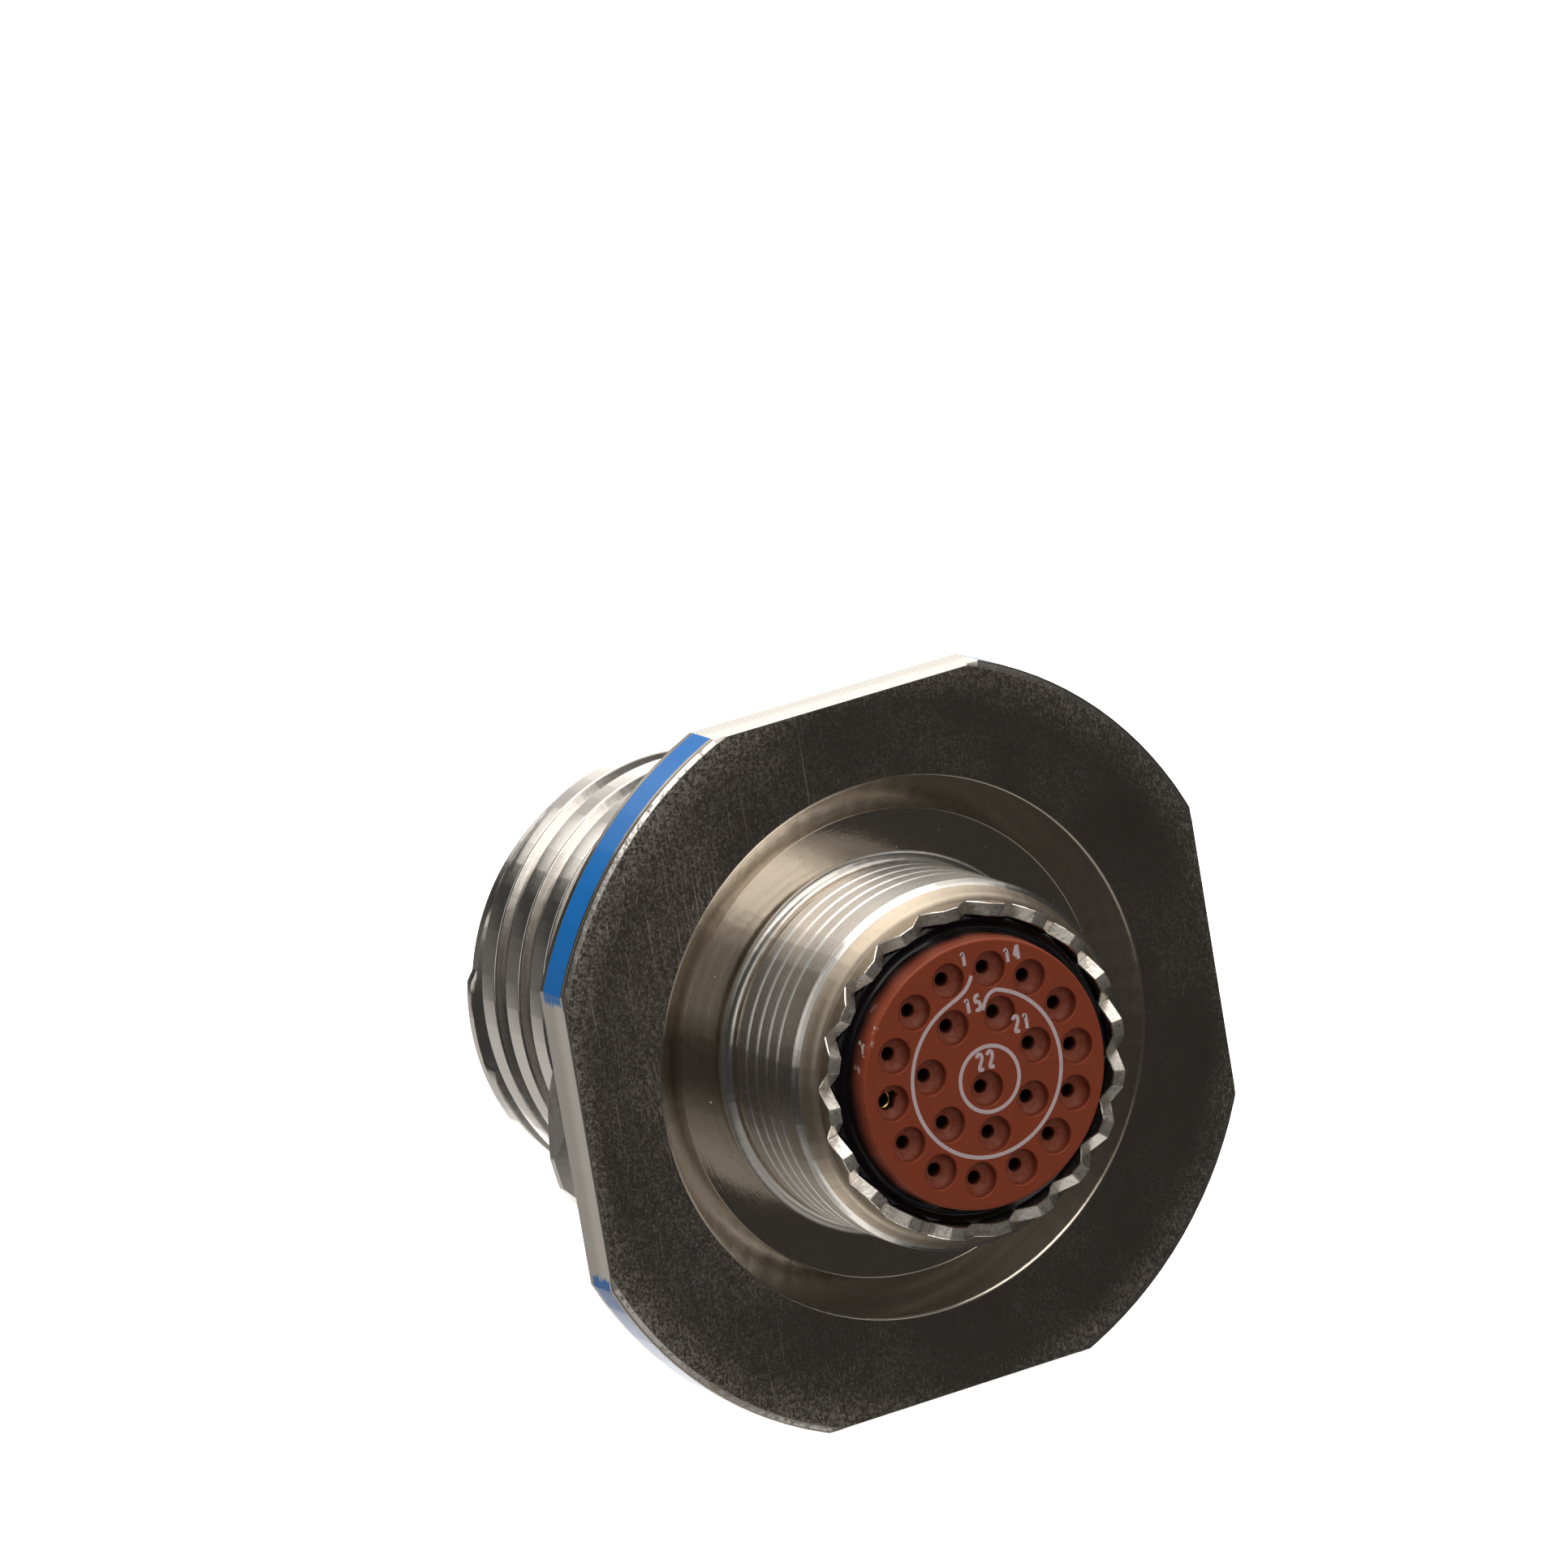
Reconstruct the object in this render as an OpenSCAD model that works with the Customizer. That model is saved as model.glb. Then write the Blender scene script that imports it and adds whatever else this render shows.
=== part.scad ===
// Circular connector receptacle for panel mounting, with a jam nut and a pin insert.
// The pieces are turned about the connector's axis and then laid along Y: the wire side
// faces -Y, the mating end faces +Y and the main keyway is up. The origin is on the axis,
// in the flange face that seats on the panel.

/* [Flange] */
// Distance across the flats cut on the flange
flange_across_flats = 34.925; // [33.5:0.005:38]
// Diameter of the flange before its flats are cut
flange_d = 37.9; // [35:0.1:42]
// Thickness of the flange
flange_t = 2.45; // [2:0.05:4]
// Chamfer on the rear edge of the flange's round stretches
flange_chamfer = 0.25; // [0.05:0.05:0.5]
// Mouth diameter of the dished recess in the flange's rear face
recess_mouth_d = 26.3; // [24:0.1:29]
// Floor diameter of the recess
recess_floor_d = 22.9; // [20.5:0.1:23.6]
// Depth of the recess
recess_depth = 1.4; // [0.6:0.05:1.6]

/* [Panel seal] */
// Cord diameter of the sealing ring
o_ring_section = 1.78; // [1.5:0.01:2.1]
// Depth of the ring's groove in the flange
groove_depth = 1.3; // [0.9:0.05:1.4]
// Distance from the panel thread to the groove
groove_inset = 1.3; // [0.8:0.05:1.6]
// Room beside the ring on each side of its groove
groove_play = 0.2; // [0.05:0.05:0.3]

/* [Panel thread] */
// Major diameter of the thread that takes the jam nut
panel_thread_d = 25; // [24:0.1:26]
// Length of that thread from the panel face
panel_thread_l = 9.4; // [8.6:0.1:10.6]
// Lead chamfer at the end of that thread
panel_thread_chamfer = 0.5; // [0.1:0.05:0.8]
// Depth of the flat that keys the barrel in its panel hole
panel_flat_depth = 0.95; // [0.3:0.05:1.2]

/* [Jam nut] */
// Distance across the nut's flats
nut_across_flats = 30.18; // [28.5:0.02:32]
// Thickness of the nut
nut_t = 2.9; // [2.4:0.05:3.4]
// Diameter to which the nut's corners are chamfered at its faces
nut_face_d = 31.8; // [30.6:0.1:33]
// Diameter to which the nut's corners are turned
nut_corner_d = 34; // [33.2:0.1:34.6]
// Slope of the nut's corner chamfer against its face
nut_chamfer_angle = 48; // [15:1:55]
// Distance from the panel face to the nut
nut_gap = 1.5; // [1.2:0.05:3.2]
// Radial clearance of the nut on its thread
nut_clearance = 0.1; // [0.05:0.01:0.2]
// Angle of a nut corner from +X, seen from the wire side
nut_turn = 8.7; // [0:0.1:59.9]
// Diameter of the lock wire holes through the nut's corners
lockwire_d = 1.2; // [0.8:0.1:1.5]
// Distance of the lock wire holes in from the nut's corners
lockwire_inset = 1.85; // [1.5:0.05:2.2]

/* [Mating end] */
// Length from the panel face to the front rim
mating_l = 22.05; // [21.4:0.05:24]
// Crest diameter of the coarse coupling thread
mating_thread_d = 22.22; // [21.6:0.02:23]
// Distance from one thread crest to the next
mating_pitch = 2.54; // [2.4:0.02:2.7]
// Depth of the coupling thread
mating_thread_depth = 0.8; // [0.4:0.05:0.9]
// Width of a thread crest
mating_crest_w = 1.2; // [0.6:0.05:1.3]
// Axial run of a thread flank
mating_flank_w = 0.35; // [0.2:0.05:0.6]
// Plain land between the front rim and the first thread flank
mating_land = 0.35; // [0.1:0.05:0.8]
// Number of thread crests along the barrel
mating_crests = 4; // [2:1:4]
// Diameter of the mating cavity
cavity_d = 18.2; // [17.4:0.05:18.6]
// Depth of the mating cavity from the front rim
cavity_depth = 14.05; // [13.6:0.05:14.6]
// Width of the main keyway
main_key_w = 3.3; // [2:0.1:4]
// Width of the other keyways
minor_key_w = 1.6; // [1:0.1:2]
// Depth of the keyways in the cavity wall
key_depth = 0.6; // [0.3:0.05:0.7]
// Length of the keyways from the front rim
key_l = 9; // [6:0.1:12]

/* [Wire end] */
// Major diameter of the accessory thread
rear_thread_d = 18; // [17.6:0.05:19]
// Distance from the flange's rear face to the end of that thread
rear_thread_reach = 5.1; // [4.4:0.05:5.4]
// Chamfer at the end of that thread
rear_chamfer = 0.3; // [0.1:0.05:0.4]
// Depth of the relief at the foot of that thread
rear_relief_depth = 0.25; // [0.1:0.05:0.4]
// Length of that relief above the floor of the recess
rear_relief_w = 0.9; // [0.7:0.05:1.2]
// Fillet at the foot of the rear barrel
rear_fillet = 0.45; // [0.2:0.05:0.6]
// Distance from the flange's rear face to the tooth crests
teeth_reach = 7.1; // [6.9:0.05:8]
// Outer diameter of the toothed ring
teeth_d = 16.3; // [15.9:0.05:16.7]
// Number of teeth on the rear end
teeth_n = 20; // [12:1:22]
// Depth of the notches between the teeth
teeth_depth = 0.85; // [0.4:0.05:0.9]
// Diameter of the shell's rear bore
rear_bore_d = 14.95; // [14.7:0.05:15.2]

/* [Insert] */
// Bore of the shell's inner stop ring
stop_bore_d = 13.9; // [13.2:0.05:14.2]
// Length of the stop ring
stop_w = 2; // [1.2:0.1:2.6]
// Length of the front insert behind the stop ring
front_insert_l = 6; // [5:0.1:6.6]
// Length of the front insert's nose past the floor of the cavity
nose_proud = 0.8; // [0.3:0.05:1.2]
// Length of the rear insert
rear_insert_l = 5.2; // [4.8:0.1:5.8]
// Thickness of the face seal
seal_t = 0.9; // [0.5:0.05:1.4]
// Height of the raised barrier round each pin
barrier_h = 0.6; // [0.3:0.05:1]
// Face diameter of the grommet
grommet_face_d = 13.1; // [12.6:0.05:13.4]
// Foot diameter of the grommet
grommet_foot_d = 13.6; // [13.4:0.05:14]
// Height of the grommet's face past the tooth crests
grommet_proud = 0.72; // [0.3:0.02:1.2]
// Distance from the tooth crests down to the bonding bead
bead_drop = 1; // [0.9:0.05:1.3]
// Height of the bonding bead
bead_h = 1.6; // [1:0.05:2]
// Clearance left where one piece seats inside another
seat_clearance = 0.03; // [0.02:0.01:0.05]

/* [Contacts] */
// Number of contacts in the outer ring
outer_n = 14; // [10:1:14]
// Diameter of the outer ring of contacts
outer_ring_d = 10.16; // [9.9:0.02:10.6]
// Number of contacts in the inner ring
inner_n = 7; // [5:1:7]
// Diameter of the inner ring of contacts
inner_ring_d = 5.94; // [5.6:0.02:6.2]
// Distance of the middle contact below the axis
middle_drop = 0.7; // [0.4:0.05:0.8]
// Diameter of a contact's pin
pin_d = 0.76; // [0.6:0.02:0.8]
// Length of a pin past the face seal
pin_reach = 5.3; // [4:0.1:6]
// Diameter of a contact's shoulder
shoulder_d = 1.44; // [1.36:0.02:1.48]
// Length of a contact's shoulder
shoulder_l = 1.7; // [1.2:0.05:2]
// Depth of the shoulder's seat in the front insert
shoulder_seat = 1.4; // [1:0.05:1.6]
// Diameter of a contact's wire barrel
barrel_d = 1.2; // [1.1:0.02:1.24]
// Diameter of the wire well in that barrel
well_d = 0.86; // [0.6:0.02:0.9]
// Depth of the wire well
well_depth = 3.5; // [2:0.1:3.8]
// Distance from the contact's end to the grommet
contact_inset = 0.6; // [0.2:0.05:1]
// Outer diameter of a retention clip
clip_d = 1.76; // [1.7:0.02:1.78]
// Wall of a retention clip
clip_wall = 0.12; // [0.08:0.01:0.14]
// Length of a retention clip
clip_l = 3.6; // [3:0.1:4]
// Length of the clip's inner lip
clip_lip = 0.4; // [0.2:0.05:0.6]
// Width of the clip's slit
clip_slit = 0.25; // [0.1:0.05:0.4]
// Mouth diameter of a wire hole in the grommet
mouth_d = 1.68; // [1.4:0.02:1.8]
// Depth of the funnel at a wire hole's mouth
mouth_depth = 0.85; // [0.5:0.05:1.2]
// Diameter of a wire hole's sealing web
web_d = 0.66; // [0.5:0.02:0.8]
// Depth below the grommet's face where the sealing web ends
web_depth = 2.8; // [1.8:0.1:3.2]

/* [Hidden] */
$fn = 96;
overcut = 1;
fillet_steps = 6;
barrier_d = 2.0;
barrier_tip_d = 1.5;
pin_tip_d = 0.4;
pin_tip_l = 0.5;
lockwire_n = 3;
// Angles of the other keyways from the main one
minor_key_angles = [95, 141, 208, 236];

contact_n = outer_n + inner_n + 1;
main_key_angle = 90;

// Radii of the shell
flange_r = flange_d / 2;
panel_r = panel_thread_d / 2;
crest_r = mating_thread_d / 2;
root_r = crest_r - mating_thread_depth;
cavity_r = cavity_d / 2;
thread_r = rear_thread_d / 2;
relief_r = thread_r - rear_relief_depth;
teeth_r = teeth_d / 2;
bore_r = rear_bore_d / 2;
groove_inner_r = panel_r + groove_inset;
groove_outer_r = groove_inner_r + o_ring_section + 2 * groove_play;

// Heights along the axis, from the panel face towards the wire side
rim_z = -mating_l;
cavity_z = rim_z + cavity_depth;
stop_z = cavity_z + stop_w;
parting_z = stop_z + front_insert_l;
insert_z = parting_z + rear_insert_l;
nose_z = cavity_z - nose_proud;
seal_z = nose_z - seal_t;
pin_tip_z = seal_z - pin_reach;
floor_z = flange_t - recess_depth;
relief_z = floor_z + rear_relief_w;
thread_z = flange_t + rear_thread_reach;
chamfer_z = thread_z + rear_chamfer;
teeth_z = flange_t + teeth_reach;
notch_z = teeth_z - teeth_depth;
neck_z = (chamfer_z + notch_z) / 2;
grommet_z = teeth_z + grommet_proud;
bead_z = teeth_z - bead_drop;
nut_z = -nut_gap - nut_t;
shoulder_z = parting_z - shoulder_seat;
lip_z = shoulder_z + shoulder_l;
contact_z = insert_z - contact_inset;

insert_r = bore_r - seat_clearance;
nose_r = stop_bore_d / 2 - seat_clearance;
pin_hole_d = pin_d + 2 * seat_clearance;
shoulder_hole_d = shoulder_d + 2 * seat_clearance;
clip_hole_d = clip_d + 2 * seat_clearance;
barrel_hole_d = barrel_d + 2 * clip_wall;
lip_d = barrel_d + 2 * seat_clearance;

function two_digits(i) = str(i < 10 ? "0" : "", i);
function contact_name(i) = str("contact_", two_digits(i));
function clip_name(i) = str("retention_clip_", two_digits(i));

nickel = [0.66, 0.62, 0.56];
silicone = [0.53, 0.23, 0.14];
black_rubber = [0.08, 0.08, 0.08];
black_epoxy = [0.05, 0.05, 0.06];
resin = [0.18, 0.2, 0.19];
gold = [0.83, 0.66, 0.3];
copper_alloy = [0.72, 0.5, 0.28];

// A point on a ring of contacts, counted anticlockwise from just right of the top
function ring_spot(d, n, k) = let (a = 90 - 180 / n + k * 360 / n) [d / 2 * cos(a), d / 2 * sin(a)];

// Place of contact i seen from the wire side: outer ring, inner ring, then the middle one
function contact_spot(i) =
    i <= outer_n ? ring_spot(outer_ring_d, outer_n, i - 1)
    : i <= outer_n + inner_n ? ring_spot(inner_ring_d, inner_n, i - 1 - outer_n)
    : [0, -middle_drop];

// Outline of one thread crest whose front flank starts at height z
function crest_outline(z) = [
    [root_r, z],
    [crest_r, z + mating_flank_w],
    [crest_r, z + mating_flank_w + mating_crest_w],
    [root_r, z + 2 * mating_flank_w + mating_crest_w]
];

mating_outline = [
    for (k = [0:mating_crests - 1])
        for (p = crest_outline(rim_z + mating_land + k * mating_pitch)) p
];

panel_outline = [
    [root_r, -panel_thread_l],
    [panel_r - panel_thread_chamfer, -panel_thread_l],
    [panel_r, -panel_thread_l + panel_thread_chamfer],
    [panel_r, 0]
];

flange_outline = [
    [groove_inner_r, 0],
    [groove_inner_r, groove_depth],
    [groove_outer_r, groove_depth],
    [groove_outer_r, 0],
    [flange_r, 0],
    [flange_r, flange_t - flange_chamfer],
    [flange_r - flange_chamfer, flange_t],
    [recess_mouth_d / 2, flange_t],
    [recess_floor_d / 2, floor_z]
];

fillet_outline = [
    for (k = [0:fillet_steps])
        let (a = 90 * k / fillet_steps)
            [relief_r + rear_fillet * (1 - sin(a)), floor_z + rear_fillet * (1 - cos(a))]
];

rear_outline = [
    [relief_r, relief_z],
    [thread_r, relief_z + rear_relief_depth],
    [thread_r, thread_z],
    [thread_r - rear_chamfer, chamfer_z],
    [teeth_r, neck_z],
    [teeth_r, teeth_z]
];

inner_outline = [
    [bore_r, teeth_z],
    [bore_r, stop_z],
    [stop_bore_d / 2, stop_z],
    [stop_bore_d / 2, cavity_z],
    [cavity_r, cavity_z]
];

// Half section of the shell, from the front rim round the outside and back through the bore
shell_outline = concat(
    [[cavity_r, rim_z], [root_r, rim_z]],
    mating_outline,
    panel_outline,
    flange_outline,
    fillet_outline,
    rear_outline,
    inner_outline
);

// Lays a piece that was turned about the upright axis along Y
module lay() {
    rotate([90, 0, 0]) children();
}

// Repeats a cut at every contact
module at_contacts() {
    for (i = [1:contact_n]) translate(contact_spot(i)) children();
}

// Upright cylinder between two heights
module rod(d, from_z, to_z) {
    translate([0, 0, from_z]) cylinder(d = d, h = to_z - from_z);
}

// Slot in the cavity wall for one key of the mating plug
module keyway(w, angle) {
    rotate([0, 0, angle])
        translate([0, -w / 2, rim_z - overcut])
            cube([cavity_r + key_depth, w, key_l + overcut]);
}

// V notch between two teeth of the rear end
module tooth_notch() {
    half_w = teeth_depth + overcut;
    translate([bore_r - overcut, 0, notch_z])
        rotate([90, 0, 90])
            linear_extrude(height = teeth_r - bore_r + 2 * overcut)
                polygon([[0, 0], [half_w, half_w], [-half_w, half_w]]);
}

module shell() {
    color(nickel) lay() difference() {
        intersection() {
            rotate_extrude() polygon(shell_outline);
            translate([0, 0, (rim_z + teeth_z) / 2])
                cube([flange_across_flats, flange_across_flats, teeth_z - rim_z + overcut], center = true);
        }
        translate([-panel_r, -panel_r - overcut, -panel_thread_l - overcut])
            cube([panel_thread_d, panel_flat_depth + overcut, panel_thread_l + overcut]);
        keyway(main_key_w, main_key_angle);
        for (a = minor_key_angles) keyway(minor_key_w, main_key_angle + a);
        for (k = [0:teeth_n - 1]) rotate([0, 0, (k + 0.5) * 360 / teeth_n]) tooth_notch();
    }
}

// Turned blank that chamfers the corners of the nut's hexagon at both faces
module nut_blank() {
    face_r = nut_face_d / 2;
    wide_r = face_r + nut_t / tan(nut_chamfer_angle);
    intersection() {
        cylinder(d = nut_corner_d, h = nut_t);
        cylinder(r1 = face_r, r2 = wide_r, h = nut_t);
        cylinder(r1 = wide_r, r2 = face_r, h = nut_t);
    }
}

module jam_nut() {
    corner_r = nut_across_flats / 2 / cos(30);
    color(nickel) lay() translate([0, 0, nut_z]) rotate([0, 0, nut_turn]) difference() {
        intersection() {
            cylinder(r = corner_r, h = nut_t, $fn = 6);
            nut_blank();
        }
        rod(panel_thread_d + 2 * nut_clearance, -overcut, nut_t + overcut);
        for (k = [0:lockwire_n - 1])
            rotate([0, 0, k * 360 / lockwire_n])
                translate([corner_r - lockwire_inset, 0, nut_t / 2])
                    rotate([90, 0, 0])
                        cylinder(d = lockwire_d, h = nut_across_flats / 2, center = true, $fn = 24);
    }
}

module panel_o_ring() {
    color(black_rubber) lay()
        translate([0, 0, groove_depth - seat_clearance - o_ring_section / 2])
            rotate_extrude()
                translate([(groove_inner_r + groove_outer_r) / 2, 0]) circle(d = o_ring_section, $fn = 32);
}

module face_seal() {
    color(silicone) lay() difference() {
        union() {
            rod(2 * nose_r, seal_z, nose_z);
            at_contacts() translate([0, 0, seal_z - barrier_h])
                cylinder(d1 = barrier_tip_d, d2 = barrier_d, h = barrier_h + seal_t / 2, $fn = 32);
        }
        at_contacts() rod(pin_hole_d, seal_z - barrier_h - overcut, nose_z + overcut);
    }
}

module front_insert() {
    color(resin) lay() difference() {
        union() {
            rod(2 * insert_r, stop_z, parting_z);
            rod(2 * nose_r, nose_z, stop_z);
        }
        at_contacts() {
            rod(pin_hole_d, nose_z - overcut, shoulder_z);
            rod(shoulder_hole_d, shoulder_z, parting_z + overcut);
        }
    }
}

module rear_insert() {
    color(resin) lay() difference() {
        rod(2 * insert_r, parting_z, insert_z);
        at_contacts() {
            rod(clip_hole_d, parting_z - overcut, parting_z + clip_l + 2 * seat_clearance);
            rod(barrel_hole_d, parting_z, insert_z + overcut);
        }
    }
}

// Funnel, sealing web and wider chamber of one wire hole
module wire_hole() {
    web_z = grommet_z - web_depth;
    slope = (mouth_d - web_d) / mouth_depth;
    translate([0, 0, grommet_z - mouth_depth])
        cylinder(d1 = web_d, d2 = mouth_d + slope * overcut, h = mouth_depth + overcut);
    rod(web_d, insert_z, grommet_z);
    rod(barrel_hole_d, insert_z - overcut, web_z);
}

module grommet() {
    shoulder_edge = bead_z;
    color(silicone) lay() difference() {
        rotate_extrude() polygon([
            [0, insert_z],
            [grommet_foot_d / 2, insert_z],
            [grommet_foot_d / 2, shoulder_edge],
            [grommet_face_d / 2, grommet_z],
            [0, grommet_z]
        ]);
        at_contacts() wire_hole();
    }
}

module bonding_bead() {
    color(black_epoxy) lay() difference() {
        rod(2 * insert_r, bead_z - bead_h, bead_z);
        rod(grommet_foot_d + 2 * seat_clearance, bead_z - bead_h - overcut, bead_z + overcut);
    }
}

module contact(i) {
    color(gold) lay() translate(contact_spot(i)) difference() {
        union() {
            translate([0, 0, pin_tip_z]) cylinder(d1 = pin_tip_d, d2 = pin_d, h = pin_tip_l);
            rod(pin_d, pin_tip_z + pin_tip_l, shoulder_z);
            rod(shoulder_d, shoulder_z, lip_z);
            rod(barrel_d, lip_z, contact_z);
        }
        rod(well_d, contact_z - well_depth, contact_z + overcut);
    }
}

module retention_clip(i) {
    lip_start = lip_z + seat_clearance;
    clip_start = parting_z + seat_clearance;
    color(copper_alloy) lay() translate(contact_spot(i)) difference() {
        rod(clip_d, clip_start, clip_start + clip_l);
        rod(clip_d - 2 * clip_wall, clip_start - overcut, lip_start);
        rod(lip_d, clip_start - overcut, clip_start + clip_l + overcut);
        rod(clip_d - 2 * clip_wall, lip_start + clip_lip, clip_start + clip_l + overcut);
        translate([0, -clip_slit / 2, clip_start - overcut])
            cube([clip_d, clip_slit, clip_l + 2 * overcut]);
    }
}

shell();
jam_nut();
panel_o_ring();
face_seal();
front_insert();
rear_insert();
grommet();
bonding_bead();
for (i = [1:contact_n]) {
    contact(i);
    retention_clip(i);
}
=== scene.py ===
"""Looks of a circular connector receptacle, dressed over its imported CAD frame.

Pieces are turned about the connector's axis in millimetres: z runs from the panel face towards
the wire side, x to the right and y up as seen from there. lay() turns such points into the row
frame, and finish_piece() brings a finished piece to metres.
"""

import math

import bmesh
import bpy
import numpy as np
from mathutils import Matrix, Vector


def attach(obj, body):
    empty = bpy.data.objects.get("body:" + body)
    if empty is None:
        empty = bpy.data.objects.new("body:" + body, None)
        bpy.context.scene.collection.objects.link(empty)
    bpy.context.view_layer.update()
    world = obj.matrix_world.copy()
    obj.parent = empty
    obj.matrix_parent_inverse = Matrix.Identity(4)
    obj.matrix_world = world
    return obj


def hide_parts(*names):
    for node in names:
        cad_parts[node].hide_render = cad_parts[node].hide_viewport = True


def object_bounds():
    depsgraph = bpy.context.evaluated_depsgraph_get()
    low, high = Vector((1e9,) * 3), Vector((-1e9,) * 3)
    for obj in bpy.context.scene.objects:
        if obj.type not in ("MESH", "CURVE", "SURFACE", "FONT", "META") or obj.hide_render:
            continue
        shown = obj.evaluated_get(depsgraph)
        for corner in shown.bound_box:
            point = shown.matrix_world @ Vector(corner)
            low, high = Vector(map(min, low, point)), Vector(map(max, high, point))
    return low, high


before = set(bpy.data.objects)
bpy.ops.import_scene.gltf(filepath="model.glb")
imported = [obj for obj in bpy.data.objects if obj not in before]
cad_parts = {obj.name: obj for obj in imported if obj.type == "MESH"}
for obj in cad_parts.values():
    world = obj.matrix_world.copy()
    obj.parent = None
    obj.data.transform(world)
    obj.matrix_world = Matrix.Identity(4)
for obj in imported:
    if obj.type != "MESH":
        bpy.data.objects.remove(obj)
cad_low, cad_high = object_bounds()

MM = 0.001
WELD = 1e-4
SHARP = math.radians(38)

# Flange, seen from the wire side
HALF_FLATS = 17.4625
FLANGE_R = 18.95
FLANGE_T = 2.45
# Outer edge, from the panel face to the rear face: inset of the round, inset of the flats, height
FLANGE_EDGE = (
    (0.12, 0.05, 0),
    (0, 0, 0.12),
    (0, 0, FLANGE_T - 0.2),
    (0.02, 0, FLANGE_T - 0.16),
    (0.1, 0.005, FLANGE_T - 0.11),
    (0.3, 0.06, FLANGE_T - 0.012),
    (0.36, 0.11, FLANGE_T),
)
PAINT_FROM = 0.4
PAINT_TO = 2.16
RECESS_R = 13.15
RECESS_FLOOR_R = 11.45
FLOOR_Z = 1.05
# Eased edges of the recess, as steps outward and up from its corners
RECESS_RIM = ((0.15, 0), (0.05, -0.03), (-0.04, -0.1))
RECESS_FOOT = ((0.07, 0.05), (-0.03, 0))
GROOVE_R = (13.8, 15.98)
GROOVE_DEPTH = 1.3
GROOVE_BREAK = 0.1

# Barrel behind the panel, with the thread for the jam nut
PANEL_R = 12.5
PANEL_FLAT = 11.55
PANEL_END = -9.4
PANEL_CHAMFER = 0.5
PANEL_ROOT_FILLET = 0.3
PANEL_THREAD_DEPTH = 0.2
PANEL_THREAD_ORIGIN = 0.2
PANEL_THREAD_STOP = -0.3
PANEL_THREAD_FADE = ((PANEL_END, 1), (-1.2, 1), (-0.5, 0), (0, 0))

# Mating end
RIM_Z = -22.05
RIM_BREAK = 0.15
CREST_R = 11.11
ROOT_R = 10.31
CAVITY_R = 9.1
CAVITY_Z = -8.0
KEY_Z = -13.05
KEY_DEPTH = 0.6
KEY_EASE = 0.15
# Keyways: middle and half width in degrees
KEYS = ((90, 10.1), (185, 4.9), (231, 4.9), (298, 4.9), (326, 4.9))
STOP_R = 6.95
STOP_Z = -6.0

# Wire end
REAR_R = 9.0
RELIEF_R = 8.7
RELIEF_Z = 1.95
FOOT_FILLET = 0.7
THREAD_TOP = 7.5
REAR_THREAD_DEPTH = 0.17
REAR_THREAD_ORIGIN = 0.6633
REAR_THREAD_START = RELIEF_Z + 0.25
REAR_THREAD_FADE = ((0, 1), (6.1, 1), (7.0, 0), (THREAD_TOP, 0))
TEETH_R = 8.15
TEETH_Z = 9.55
BORE_R = 7.475
NECK_EDGE = (8.86, 7.65)
NECK_PROFILE = ((8.74, 7.81), (8.6, 8.06), (8.5, 8.3), (8.4, 8.5), (8.28, 8.64), (TEETH_R, 8.7))
TOOTH_STEP = 18
# Angles across one tooth and its gap, and how far its flank has dropped at an angle from its middle
TOOTH_ANGLES = (0, 2.5, 2.95, 5.9, 8.6, 9, 9.4, 12.1, 15.05, 15.5)
TOOTH_FLANK = ((0, 0), (2.5, 0), (2.95, 0.03), (8.6, 0.81), (9, 0.85))
TOOTH_TOP = ((TEETH_R, -0.06), (TEETH_R - 0.04, 0), (BORE_R + 0.05, 0), (BORE_R, -0.06))
CAVITY_PROFILE = (
    (BORE_R, 8.1),
    (BORE_R, STOP_Z),
    (STOP_R, STOP_Z),
    (STOP_R, CAVITY_Z),
    (CAVITY_R, CAVITY_Z),
    (CAVITY_R, KEY_Z + 0.05),
)

# Insert, with each ring of contacts as its radius and count
OUTER_RING = (5.08, 14)
INNER_RING = (2.97, 7)
MIDDLE_SPOT = (0.0, -0.7)
GROMMET_Z = 10.27
GROMMET_R = 6.55
GROMMET_EDGE = 0.12
GROMMET_FOOT_R = 6.8
GROMMET_FOOT_Z = 5.2
# A wire hole from the grommet's face down: radius and height
FUNNEL = (
    (0, 0.06), (0.95, 0.06), (0.87, -0.035), (0.862, -0.14), (0.84, -0.27), (0.77, -0.41), (0.63, -0.54),
    (0.46, -0.63), (0.36, -0.68), (0.33, -0.75), (0.33, -2.8), (0.72, -2.8), (0.72, -5.5), (0, -5.5),
)
# The one torn hole: the tear, the split beside it and the bright rim in it, above TORN_Z
TORN_HOLE = 4
TORN_Z = 8.55
TEAR = ((0, 1.3), (0.46, 1.3), (0.52, 0), (0, 0))
TEAR_SIDES = 7
SPLIT = ((0, 1.4), (0.3, 1.4), (0.3, 0.4), (0, 0.4))
SPLIT_SIDES = 5
SPLIT_OFF = (0.3, 0.2)
BRIGHT_RIM = ((0.33, 0), (0.42, 0), (0.42, 0.58), (0.405, 0.6), (0.38, 0.59), (0.35, 0.575), (0.33, 0.55))
BEAD_Z = 8.55
BEAD_H = 1.6
BEAD_LAP = 0.03
BEAD_SINK = 0.3
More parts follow.
